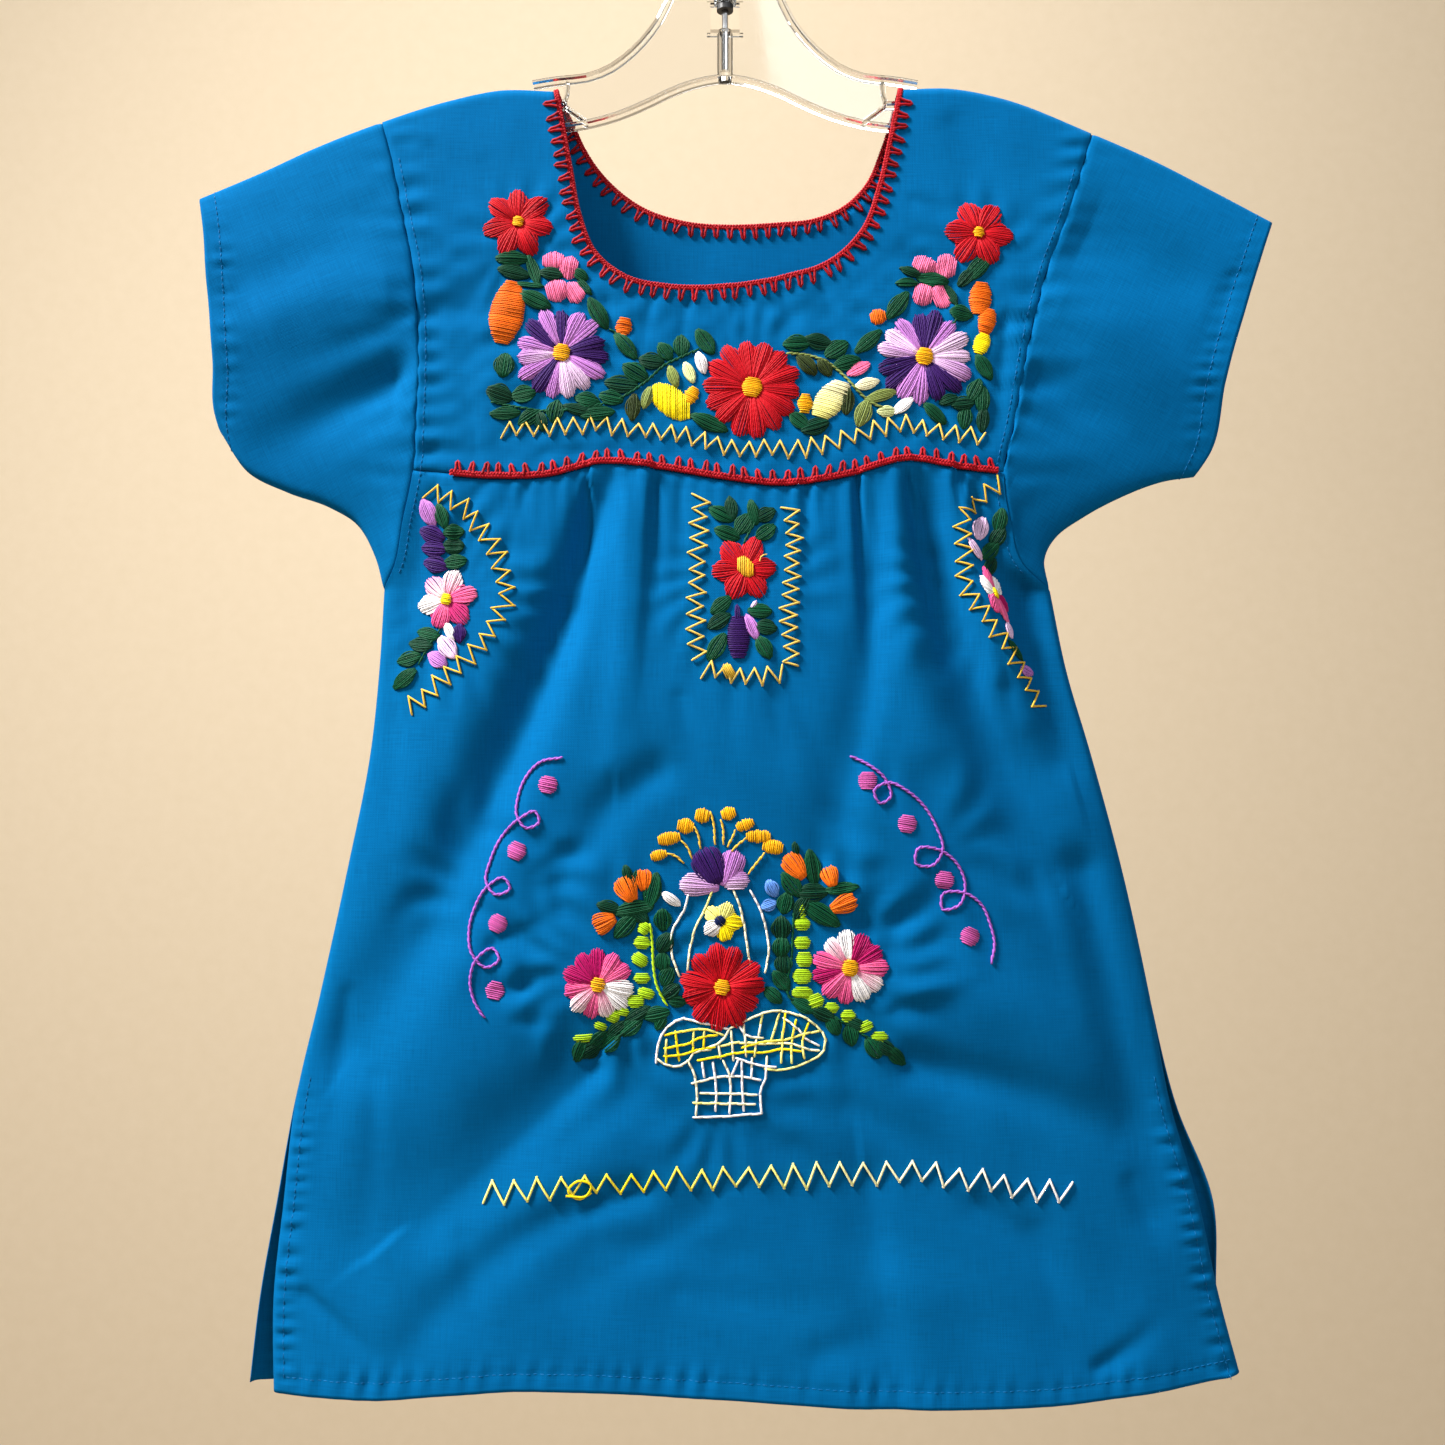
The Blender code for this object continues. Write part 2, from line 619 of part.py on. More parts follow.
def skirt(name, front, material):
    """A skirt panel with its seam edges parted from the yoke, the sleeves and the other panel."""
    grid = skirt_grid(front)
    inward = inward_normals(grid, front)
    arm = len(SKIRT_STATIONS)
    inward[0] = level(inward[0])
    inward[arm - 1:, 0] = (1.0, 0.0, 0.0)
    inward[arm - 1:, -1] = (-1.0, 0.0, 0.0)
    inward[:arm - 1, 0] = ring_inward(grid[:arm - 1, 0], 0, front)
    inward[:arm - 1, -1] = ring_inward(grid[:arm - 1, -1], 1, front)
    inward[arm - 1, 0] = unit(np.array([1.0, 0.0, 1.0]))
    inward[arm - 1, -1] = unit(np.array([-1.0, 0.0, 1.0]))
    grid[:arm, 0, 0] += SEAM_GAP / 2
    grid[:arm, -1, 0] -= SEAM_GAP / 2
    grid[0, :, 2] -= SEAM_GAP / 2
    return wall_object(name, grid, inward, material)


def sleeve_grid(side):
    """Outer points of a sleeve: rows from armhole to cuff, columns round it from the top."""
    stations = np.array(YOKE_STATIONS + SKIRT_STATIONS[1:])
    arm = np.stack(armhole_point(stations, side), axis=1)
    down = np.linspace(0.0, 1.0, SLEEVE_ROWS + 1)
    first = 0 if side == 0 else 2
    seam_top = SHOULDER[3][first]
    tip = SHOULDER[-1][first]
    top_x = seam_top + down * (tip - seam_top)
    top = np.stack([top_x, shoulder_z(top_x)], axis=1)
    under = np.stack([smooth(column(UNDERSIDE, 0), column(UNDERSIDE, 1 + first + k), down)
                      for k in (0, 1)], axis=1)
    cuff = np.stack([smooth(column(CUFF, 0), column(CUFF, 1 + first + k), stations)
                     for k in (0, 1)], axis=1)
    flat = coons(arm, cuff, top, under)
    x, z = flat[..., 0], flat[..., 1]
    folds = (LEFT_SLEEVE_FOLDS, RIGHT_SLEEVE_FOLDS)[side]
    halves = []
    for front in (True, False):
        at_arm = body_depth(arm[:, 0], arm[:, 1], front)
        from_top = stations * (ARMHOLE_TOP_LEFT[1] - UNDERARM_Z)
        from_under = (1 - stations) * np.linalg.norm(cuff[-1] - cuff[0])
        profile = round_off(from_top * SHOULDER_SLOPE, CUFF_EDGE_RADIUS)
        profile = profile * round_off(from_under, CUFF_EDGE_RADIUS)
        full = CUFF_DEPTH[0 if front else 1] - CUFF_EDGE_RADIUS
        hollow = full * (1 - np.exp(-from_top / CUFF_SETTLE)) * (1 - np.exp(-from_under / CUFF_SETTLE))
        at_cuff = CUFF_EDGE_RADIUS * profile + hollow
        depth = (1 - down[:, None]) * at_arm[None] + down[:, None] * at_cuff[None]
        calm = np.sin(math.pi * stations)[None] ** 0.7 * np.minimum(1.0, down[:, None] * 6.0)
        depth = depth - fold_depth(x, z, folds) * calm * (1.0 if front else BACK_FOLD_SHARE)
        depth[:, 0] = depth[:, -1] = 0.0
        halves.append(np.stack([x, depth * (-1 if front else 1), z], axis=-1))
    return np.concatenate([halves[0], halves[1][:, -2:0:-1]], axis=1)


def sleeve(name, side, material):
    """A sleeve, open at the armhole and the cuff."""
    grid = sleeve_grid(side)
    inward = surface_normals(grid, ring=True)
    centre = grid.mean(axis=1, keepdims=True)
    if np.sum(inward * (centre - grid)) < 0:
        inward = -inward
    around = np.roll(grid[0], -1, axis=0) - np.roll(grid[0], 1, axis=0)
    across = unit(np.stack([np.zeros(len(around)), around[:, 2], -around[:, 1]], axis=1))
    if np.sum(across * (grid[0].mean(axis=0) - grid[0])) < 0:
        across = -across
    inward[0] = across
    grid[0, :, 0] += SEAM_GAP / 2 * (-1 if side == 0 else 1)
    return wall_object(name, grid, inward, material, ring=True)


def neck_edging(material):
    """The crochet round the neck, just outside the cloth's edge, front and back in one ring."""
    loops = []
    for front in (True, False):
        grid = yoke_grid(front)
        inward = inward_normals(grid, front)
        inward[:, 0] = inward[:, -1] = (0.0, 0.0, -1.0)
        middle = grid[0] + inward[0] * WALL / 2
        along = unit(np.gradient(grid[0], axis=0))
        outwards = grid[0] - grid[1]
        outwards = unit(outwards - along * np.sum(outwards * along, axis=1, keepdims=True))
        loops.append(middle + outwards * (SEAM_GAP + NECK_EDGE_RADIUS))
    front_loop, back_loop = loops
    ends = [(front_loop[k] + back_loop[k]) / 2 for k in (0, -1)]
    path = np.concatenate([[ends[0]], front_loop[1:-1], [ends[1]], back_loop[-2:0:-1]])
    up = np.tile([0.0, 1.0, 0.0], (len(path), 1))
    up[0] = up[len(front_loop) - 1] = (0.0, 0.0, 1.0)
    up[:, 0] = 0.3
    return swept_bar("neck_edging", path, up, NECK_EDGE_RADIUS, NECK_EDGE_RADIUS, material, 6, True)


def yoke_edging(material):
    """The crochet along the front yoke seam, laid on the panels."""
    x = np.linspace(YOKE_EDGE_ENDS[0], YOKE_EDGE_ENDS[1], 46)
    z = seam_z(x, True)
    skirt_top, yoke_foot = skirt_grid(True)[0], yoke_grid(True)[-1]
    stand = np.maximum(np.interp(x, skirt_top[:, 0], -skirt_top[:, 1]),
                       np.interp(x, yoke_foot[:, 0], -yoke_foot[:, 1]))
    stand += YOKE_EDGE_GAP + YOKE_EDGE_HALF_DEPTH
    path = np.stack([x, -stand, z], axis=1)
    up = np.tile([0.0, 0.0, 1.0], (len(path), 1))
    return swept_bar("yoke_edging", path, up, YOKE_EDGE_HALF_WIDTH, YOKE_EDGE_HALF_DEPTH, material, 6)


def arm_top():
    """The arm's upper rail inside the shoulder, from its tip back to the notch."""
    x = np.linspace(*ARM_SPAN, 8)
    lowest = np.minimum(shoulder_z(-x), shoulder_z(x))
    z = lowest - WALL - ARM_CLEARANCE - RAIL_HALF_HEIGHT
    return list(zip(x, z)) + [(NOTCH_X + 10.0, NOTCH_Z + 0.8), (NOTCH_X, NOTCH_Z)]


def mirrored(points):
    """The points of the left half, left to right, then those of the right."""
    left = [(-x, z) for x, z in points[::-1]]
    return left + list(points[1:] if points[0][0] == 0.0 else points)


def flat_path(points, count):
    """A smooth path in the hanger's plane."""
    even = spread(points, count)
    return np.stack([even[:, 0], np.zeros(count), even[:, 1]], axis=1)


def rail(name, points, count, half_height, half_depth, material):
    """A bar in the hanger's plane."""
    path = flat_path(points, count)
    along = np.gradient(path, axis=0)
    up = np.stack([-along[:, 2], np.zeros(count), along[:, 0]], axis=1)
    return swept_bar(name, path, up, half_height, half_depth, material)


def upright(name, radius, bottom, top, material, sides=16):
    """An upright round bar on the middle line."""
    path = [(0.0, 0.0, bottom), (0.0, 0.0, top)]
    return swept_bar(name, path, [(1.0, 0.0, 0.0)] * 2, radius, radius, material, sides)


def block(name, low, high, material):
    """A box between two corners."""
    corners = [(x, y, z) for x in (low[0], high[0]) for y in (low[1], high[1]) for z in (low[2], high[2])]
    faces = [[0, 1, 3, 2], [4, 6, 7, 5], [0, 4, 5, 1], [2, 3, 7, 6], [0, 2, 6, 4], [1, 5, 7, 3]]
    return mesh_object(name, np.array(corners), faces, material)


def hanger_web(material):
    """The thin plate between the hanger's rails."""
    under = LOWER_RAIL + ARM_TIP + arm_top()
    outline = spread(mirrored(UPPER_RAIL[:-2]), 30).tolist()
    outline += under[::-1] + [(-x, z) for x, z in under[1:]]
    count = len(outline)
    points = [(x, y, z) for y in (-WEB_HALF_DEPTH, WEB_HALF_DEPTH) for x, z in outline]
    faces = [list(range(count)), list(range(2 * count - 1, count - 1, -1))]
    for k in range(count):
        nxt = (k + 1) % count
        faces.append([nxt, k, count + k, count + nxt])
    return mesh_object("hanger_frame", np.array(points), faces, material)


def hanger_frame(material):
    """The moulded hanger: web, rails, ribs, bosses and window, less its bores."""
    frame = hanger_web(material)
    arm = LOWER_RAIL + ARM_TIP + arm_top()
    half, bottom, top = WINDOW
    rim = (half + WINDOW_RIM, WINDOW_RIM_HALF_DEPTH, top + WINDOW_RIM)
    added = [
        rail("upper_rail", mirrored(UPPER_RAIL), 38, RAIL_HALF_HEIGHT, RAIL_HALF_DEPTH, material),
        rail("lower_rail", mirrored(arm), 76, RAIL_HALF_HEIGHT, RAIL_HALF_DEPTH, material),
        upright("socket", *SOCKET, material),
        upright("neck_boss", *NECK_BOSS, material),
        block("window_rim", (-rim[0], -rim[1], bottom - WINDOW_RIM), rim, material),
    ]
    for side in (-1, 1):
        points = RIB_TOP + [(NOTCH_X, NOTCH_Z), (NOTCH_X - 3.0, NOTCH_Z - 2.5), RIB_FOOT]
        points = [(side * x, z) for x, z in points]
        added.append(rail("rib", points, 9, RIB_HALF, RAIL_HALF_DEPTH - 0.4, material))
    cut = [
        block("window", (-half, -2 * rim[1], bottom), (half, 2 * rim[1], top), material),
        upright("stem_bore", *STEM_BORE, material, 12),
        upright("ferrule_bore", *FERRULE_BORE, material, 16),
    ]
    for operation, tools in (("UNION", added), ("DIFFERENCE", cut)):
        for tool in tools:
            tool.hide_render = True
            tool.display_type = "WIRE"
            modifier = frame.modifiers.new(tool.name, "BOOLEAN")
            modifier.operation = operation
            modifier.solver = "EXACT"
            modifier.object = tool
    return frame


def hook_path():
    """The hook's wire from its foot in the socket, up the stem and round the loop."""
    radius = HOOK_INNER_RADIUS + WIRE_RADIUS
    centre_z = -HOOK_INNER_RADIUS
    angles = np.radians(np.linspace(*LOOP_ANGLES, 26))
    loop = [(radius * math.cos(a), centre_z + radius * math.sin(a)) for a in angles]
    return [(0.0, z) for z in STEM_LEVELS] + STEM_BEND + loop


def hanger_hook(material):
    """The steel hook with the ferrule pressed on its stem."""
    hook = rail("hanger_hook", hook_path(), 46, WIRE_RADIUS, WIRE_RADIUS, material)
    ferrule = upright("ferrule", *FERRULE, material, 16)
    ferrule.hide_render = True
    ferrule.display_type = "WIRE"
    modifier = hook.modifiers.new("ferrule", "BOOLEAN")
    modifier.operation = "UNION"
    modifier.solver = "EXACT"
    modifier.object = ferrule
    return hook


def washer(material):
    """The washer under the ferrule."""
    outer, bottom, top = WASHER
    inner, sides = WIRE_RADIUS + SEAM_GAP, 20
    angles = np.arange(sides) * 2 * math.pi / sides
    section = [(outer, bottom), (outer, top), (inner, top), (inner, bottom)]
    grid = np.array([[(r * math.cos(a), r * math.sin(a), z) for a in angles] for r, z in section])
    faces = []
    for row in range(4):
        for k in range(sides):
            nxt, after = (k + 1) % sides, (row + 1) % 4
            faces.append([row * sides + k, row * sides + nxt, after * sides + nxt, after * sides + k])
    return mesh_object("hook_washer", grid.reshape(-1, 3), faces, material)


def build():
    """Build the whole part."""
    clear_scene()
    cloth = make_material("blue_cotton", (0.0, 0.19, 0.47), 0.75)
    crochet = make_material("red_crochet", (0.38, 0.008, 0.012), 0.65)
    clear = make_material("clear_plastic", (0.95, 0.96, 0.96), 0.08, 0.0, 1.0)
    steel = make_material("bright_steel", (0.72, 0.73, 0.75), 0.18, 1.0)
    rubber = make_material("black_rubber", (0.015, 0.015, 0.015), 0.5)
    yoke("front_yoke", True, cloth)
    yoke("back_yoke", False, cloth)
    skirt("front_skirt", True, cloth)
    skirt("back_skirt", False, cloth)
    sleeve("left_sleeve", 0, cloth)
    sleeve("right_sleeve", 1, cloth)
    neck_edging(crochet)
    yoke_edging(crochet)
    hanger_frame(clear)
    hanger_hook(steel)
    washer(rubber)


build()
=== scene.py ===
"""The looks of a child's embroidered tunic hanging on its clear plastic hanger.

The frame holds the solids. Every cloth panel is drawn again here as a thin, finely creased
shell on its solid's form, and all sewing is modelled thread by thread on those shells.
Sizes are in millimetres unless a name says otherwise; X is to the right, -Y to the front.
"""

import math

import bpy
import numpy as np
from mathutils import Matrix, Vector


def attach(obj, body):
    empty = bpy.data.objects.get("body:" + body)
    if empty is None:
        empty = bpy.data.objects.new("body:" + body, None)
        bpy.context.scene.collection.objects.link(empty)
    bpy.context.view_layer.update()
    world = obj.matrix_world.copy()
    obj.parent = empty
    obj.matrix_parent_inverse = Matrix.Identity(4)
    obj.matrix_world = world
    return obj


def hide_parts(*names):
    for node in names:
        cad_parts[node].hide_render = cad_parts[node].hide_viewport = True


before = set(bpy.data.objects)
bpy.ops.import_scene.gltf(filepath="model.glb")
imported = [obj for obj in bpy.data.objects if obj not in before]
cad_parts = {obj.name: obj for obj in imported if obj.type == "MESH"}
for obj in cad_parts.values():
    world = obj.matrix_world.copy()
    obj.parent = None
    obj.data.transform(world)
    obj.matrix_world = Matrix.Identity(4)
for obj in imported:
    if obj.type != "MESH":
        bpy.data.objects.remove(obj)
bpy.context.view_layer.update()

MM = 0.001
CLOTH = 0.55
SEAM_GAP = 0.16
SEED = 20

# Form of the garment, the same sizes as its solids
FOLD_RADIUS = 6.5
EDGE_RADIUS = 4.0
SETTLE = 45.0
SEAM_HOLD = 0.85
SEAM_HOLD_LENGTH = 20.0
UNDERARM_Z = -400.0
UNDERARM_X = (-172.0, 164.0)
YOKE_CORNER = 0.755
ARMHOLE_TOP = ((-177.0, -155.0), (189.0, -161.0))
SLIT_TOP_Z = -655.0
SLIT_PART = 3.5
FOLD_FADE = 0.45
CREASE_FADE = 0.92
SLEEVE_LENGTH = 96.0
EDGE_CALM = 12.0
GATHER_LENGTH = 16.0
NECK_STEPS = 400
NECK_SIDE = 0.22

# Machine stitches: distances from the edges, first height at the slits, thread radius, pressed grooves
HEM_STITCH = 8.0
CUFF_STITCH = 8.5
SLIT_STITCH = 6.5
SLIT_STITCH_TOP_Z = -640.0
ARMHOLE_STITCH = 4.0
SEAM_THREAD_RADIUS = 0.2
HEM_GROOVE = (0.35, 1.1)
CUFF_GROOVE = (0.3, 1.2)

# Small waves of the cloth: height and length
SKIRT_RIPPLE = (0.35, 46.0)
SEAM_GATHERS = (0.55, 9.0)
HEM_PUCKER = (0.56, 9.0)
SLIT_PUCKER = (0.80, 9.0)
YOKE_RIPPLE = (0.22, 42.0)
STITCHED_RIPPLE = (0.22, 15.0)
ARMHOLE_PUCKER = (0.95, 12.0)
SLEEVE_RIPPLE = (0.3, 38.0)
SLEEVE_HEAD_PUCKER = (0.85, 13.0)
CUFF_PUCKER = (0.50, 9.0)
PUCKER_DRIFT = (1.0, 60.0)

# Shoulder line, neck point to sleeve tip: left x, left z, right x, right z
SHOULDER = [
    (-88.5, -138.5, 92.0, -137.5),
    (-116.0, -138.0, 116.0, -137.0),
    (-142.0, -143.5, 142.0, -142.0),
    (-177.0, -155.0, 189.0, -161.0),
    (-213.0, -169.5, 224.0, -177.0),
    (-237.0, -181.0, 250.0, -191.0),
    (-270.0, -195.5, 281.0, -208.0),
]
# Armhole seam: share of the drop from shoulder to underarm, left x, right x
ARMHOLE = [
    (0.00, -177.0, 189.0),
    (0.07, -172.0, 184.0),
    (0.20, -165.0, 174.0),
    (0.32, -158.5, 163.0),
    (0.48, -155.0, 153.0),
    (0.65, -155.0, 145.0),
    (0.755, -156.0, 139.5),
    (0.86, -161.0, 142.5),
    (0.96, -166.5, 151.5),
    (1.00, -172.0, 164.0),
]
# Side seam and slit edge: z, front left x, front right x, back left x, back right x
SIDES = [
    (-400.0, -172.0, 164.0, -172.0, 164.0),
    (-440.0, -173.8, 171.5, -173.8, 171.5),
    (-480.0, -177.3, 182.5, -177.3, 182.5),
    (-540.0, -188.0, 197.5, -188.0, 197.5),
    (-600.0, -200.0, 209.5, -200.0, 209.5),
    (-655.0, -211.5, 219.0, -212.0, 222.0),
    (-700.0, -215.5, 231.0, -219.5, 239.0),
    (-745.0, -219.0, 239.5, -227.0, 240.0),
    (-792.0, -217.5, 251.0, -232.0, 241.0),
]
# Neck edge from the left shoulder round to the right: front x, front z, back x, back z
NECK = [
    (-88.5, -138.5, -88.5, -138.5),
    (-84.5, -160.0, -81.5, -152.0),
    (-80.0, -185.0, -75.0, -166.0),
    (-75.5, -208.0, -67.5, -177.5),
    (-67.5, -228.0, -56.5, -189.0),
    (-52.0, -241.5, -42.5, -198.5),
    (-28.0, -247.0, -24.0, -204.8),
    (0.0, -247.0, 0.0, -207.0),
    (28.0, -242.5, 27.0, -206.0),
    (55.0, -233.0, 48.0, -203.5),
    (71.5, -216.0, 63.0, -197.0),
    (80.0, -193.0, 74.5, -186.0),
    (86.0, -167.0, 84.0, -165.0),
    (92.0, -137.5, 92.0, -137.5),
]
# Front yoke seam: x, z. The back one is straight between its ends.
YOKE_SEAM = [
    (-156.0, -340.0),
    (-114.0, -344.0),
    (-87.0, -343.0),
    (-65.0, -337.5),
    (-38.0, -339.0),
    (0.0, -345.0),
    (28.0, -348.0),
    (62.0, -343.0),
    (94.0, -335.5),
    (112.0, -338.5),
    (139.5, -341.5),
]
# Hem, the back's then the front's: heights of its corners, then share of its width and drop below them
HEM_CORNERS = ((-788.0, -782.0), (-789.0, -780.0))
HEM = (
    [(0.0, 0.0), (0.3, 4.0), (0.7, 4.0), (1.0, 0.0)],
    [(0.0, 0.0), (0.10, 1.5), (0.25, -2.5), (0.42, 1.0), (0.62, 8.5), (0.80, 9.0), (0.93, 4.0), (1.0, 0.0)],
)
# How far each side stands out from the middle: z, front, back
BULGE = [
    (-130.0, 3.0, 3.0),
    (-250.0, 6.0, 6.0),
    (-345.0, 10.0, 8.0),
    (-450.0, 19.0, 12.0),
    (-600.0, 15.5, 12.0),
    (-700.0, 12.5, 11.0),
    (-800.0, 16.0, 12.0),
]
# Sleeve underside, share from underarm to cuff: left x, z, right x, z
UNDERSIDE = [
    (0.0, -172.0, -400.0, 164.0, -400.0),
    (0.14, -177.0, -382.0, 161.5, -384.0),
    (0.28, -186.0, -366.0, 168.0, -371.5),
    (0.42, -200.0, -357.0, 182.0, -361.5),
    (0.62, -222.0, -349.0, 203.0, -350.5),
    (0.82, -243.0, -338.0, 222.0, -343.5),
    (1.0, -256.0, -319.0, 238.0, -341.0),
]
# Cuff edge, share from tip to underside: left x, z, right x, z
CUFF = [
    (0.0, -270.0, -195.5, 281.0, -208.0),
    (0.10, -267.0, -208.0, 276.0, -220.0),
    (0.40, -262.5, -245.0, 264.0, -256.0),
    (0.70, -258.5, -283.0, 252.0, -295.0),
    (0.92, -258.5, -309.0, 245.0, -330.0),
    (1.0, -256.0, -319.0, 238.0, -341.0),
]
CUFF_DEPTH = (11.0, 9.0)
CUFF_EDGE_RADIUS = 3.5

# Main folds: start x, z, bend x, z, end x, z, half-width at start and end, depth, lean to one side if any
FRONT_FOLDS = [
    (-60, -346, -94, -476, -178, -622, 8, 22, 10.0, 0.08),
    (-47, -352, -48, -420, -52, -486, 11, 14, -4.2, -0.3),
    (-34, -492, -62, -508, -84, -545, 9, 12, 3.0),
    (73, -347, 84, -413, 50, -528, 5, 13, 4.4, 0.2),
    (99, -345, 114, -457, 158, -535, 7, 19, 8.0, 0.15),
    (83, -346, 87, -410, 98, -478, 7, 12, -3.2),
    (116, -348, 126, -404, 151, -462, 9, 12, -3.6),
    (146, -342, 151, -400, 170, -480, 15, 20, 9.5, -0.2),
    (176, -540, 188, -604, 208, -700, 10, 14, 4.4),
    (94, -597, 134, -594, 172, -632, 14, 20, -3.4),
    (90, -632, 144, -642, 188, -664, 9, 14, 3.8),
    (-66, -634, -94, -664, -148, -706, 15, 22, 7.0, 0.35),
    (-42, -640, -84, -676, -140, -716, 9, 12, 2.2),
    (-42, -692, -106, -706, -150, -766, 8, 12, 2.6),
    (66, -688, 70, -730, 80, -790, 15, 13, 3.0, 0.3),
    (-150, -345, -156, -380, -160, -430, 6, 14, 2.5),
]
BACK_FOLDS = [
    (-60, -345, -64, -450, -100, -590, 9, 24, 7.0),
    (-30, -345, -30, -420, -36, -520, 8, 18, -3.0),
    (34, -345, 36, -430, 46, -560, 8, 20, 5.0),
    (66, -345, 72, -420, 92, -520, 8, 20, -2.8),
    (118, -350, 128, -430, 158, -560, 9, 22, 6.5),
    (-124, -350, -130, -430, -160, -540, 9, 22, 5.5),
    (-70, -640, -96, -690, -104, -750, 18, 24, 3.0),
    (60, -660, 82, -700, 90, -760, 18, 22, 3.0),
]
YOKE_FOLDS = [
    (-96, -232, -120, -246, -150, -268, 9, 12, 1.3),
    (92, -230, 116, -246, 146, -262, 9, 12, 1.3),
]
SLEEVE_FOLDS = (
    [
        (-156, -288, -196, -308, -238, -342, 10, 18, 7.0),
        (-158, -240, -200, -252, -256, -276, 15, 20, -3.6),
        (-166, -372, -178, -352, -206, -340, 8, 14, 2.4),
    ],
    [
        (152, -214, 200, -226, 256, -248, 17, 18, 4.0),
        (150, -290, 190, -312, 226, -340, 10, 16, 3.0),
        (160, -256, 206, -274, 250, -298, 15, 20, -3.0),
        (146, -366, 166, -352, 198, -340, 8, 14, 2.4),
    ],
)
# Pleats laid under the yoke, the back's then the front's: left x, right x, height, length
PLEATS = (
    [(-58.0, -30.0, 2.2, 60.0), (34.0, 64.0, 2.2, 60.0)],
    [(-67.0, -36.0, 2.9, 90.0), (67.0, 92.0, 2.9, 80.0), (92.0, 114.0, 2.2, 60.0)],
)

# Puckers round the embroidery: middle x and z, radius, how many, height
SKIRT_PUCKERS = [
    (-137, -405, 42, 17, 0.60), (130, -403, 42, 16, 0.60), (10, -400, 38, 15, 0.40),
    (-54, -588, 42, 15, 0.75), (56, -582, 42, 15, 0.75), (0, -640, 38, 13, 0.55),
    (-108, -548, 40, 11, 0.65), (98, -535, 40, 11, 0.65),
]
YOKE_PUCKERS = [
    (-104, -225, 28, 13, 0.45), (126, -228, 28, 13, 0.45), (-82, -281, 33, 15, 0.40),
    (100, -283, 33, 15, 0.40), (13, -299, 36, 17, 0.35),
]

# Finer creases of the cloth, in the same columns as the folds
FRONT_CREASES = [
    (148, -350, 155, -384, 162, -422, 6, 9, -1.8), (140, -452, 150, -486, 166, -520, 8, 14, 2.4, -0.2),
    (-78, -412, -98, -486, -160, -590, 8, 13, 2.3), (98, -384, 112, -452, 154, -540, 8, 12, 2.0),
    (30, -448, 52, -486, 58, -528, 7, 11, 1.6), (-98, -596, -84, -590, -70, -580, 4, 5, 1.2),
    (-112, -574, -90, -566, -72, -556, 4, 6, 1.3, 0.2), (-146, -352, -160, -366, -168, -392, 3, 6, 1.5),
    (84, -606, 108, -604, 134, -590, 6, 9, 1.6, 0.3), (-8, -700, -50, -730, -108, -750, 9, 14, 1.3, 0.2),
    (150, -712, 160, -740, 158, -778, 8, 10, 1.2), (-68, -349, -67, -384, -77, -436, 1.8, 6, 3.7, 0.4),
    (-36, -350, -36, -392, -40, -466, 2.2, 8, 3.0, -0.4), (65, -346, 67, -380, 72, -448, 1.9, 7, 3.5, -0.4),
    (90, -344, 94, -378, 110, -440, 1.9, 8, 4.0, -0.4),
    (114, -346, 119, -372, 132, -404, 2.2, 4, 1.6, -0.3), (70, -566, 96, -562, 124, -537, 7, 9, 2.0),
    (-119, -558, -98, -574, -76, -578, 5, 6, 1.8), (-110, -597, -92, -598, -73, -592, 4, 5, 1.4),
    (-114, -520, -86, -526, -56, -539, 5, 6, 1.3), (-100, -612, -84, -614, -66, -606, 4, 5, 1.0),
    (-202, -742, -188, -752, -163, -774, 4, 6, 1.9, 0.2), (46, -767, 60, -764, 76, -758, 8, 9, 1.4),
    (178, -774, 190, -768, 210, -752, 4, 6, 2.0), (124, -700, 162, -726, 187, -770, 9, 12, 1.8, 0.2),
    (80, -735, 110, -744, 140, -738, 14, 14, -1.4), (-22, -456, -18, -476, -12, -497, 4, 7, 0.9),
    (24, -456, 26, -472, 32, -488, 4, 6, 0.8), (4, -448, 2, -470, 4, -500, 4, 7, 0.7),
    (-160, -405, -140, -470, -132, -530, 4, 10, 1.2, 0.2), (-168, -440, -160, -500, -172, -560, 4, 8, 1.0),
    (-186, -600, -190, -650, -198, -700, 4, 7, 1.2), (-170, -640, -168, -690, -178, -740, 5, 9, 1.1),
    (-60, -716, -20, -724, 30, -720, 8, 12, 1.0), (-20, -738, 20, -748, 70, -742, 8, 12, 0.9),
    (-126, -716, -116, -744, -122, -776, 6, 8, 1.0), (150, -404, 158, -440, 172, -486, 4, 9, 1.6),
    (146, -384, 152, -404, 160, -420, 3, 6, 2.0), (124, -358, 137, -404, 157, -456, 5, 8, 4.3, -0.6),
    (196, -690, 208, -720, 224, -750, 5, 8, 1.0), (206, -610, 206, -650, 214, -690, 4, 7, 0.8),
    (150, -540, 160, -580, 166, -620, 6, 9, 1.0, 0.2), (60, -652, 96, -668, 128, -694, 7, 10, 1.0),
    (20, -664, 44, -676, 60, -700, 6, 8, 0.8), (-100, -350, -106, -376, -114, -402, 3, 6, 0.9),
    (-124, -352, -132, -376, -140, -396, 3, 6, 0.9), (-22, -350, -22, -380, -24, -410, 3, 5, 0.8),
    (40, -350, 42, -384, 46, -420, 3, 6, 0.9), (54, -346, 56, -376, 58, -410, 3, 6, 0.9),
    (8, -349, 8, -358, 6, -366, 3, 4, 0.6),
]
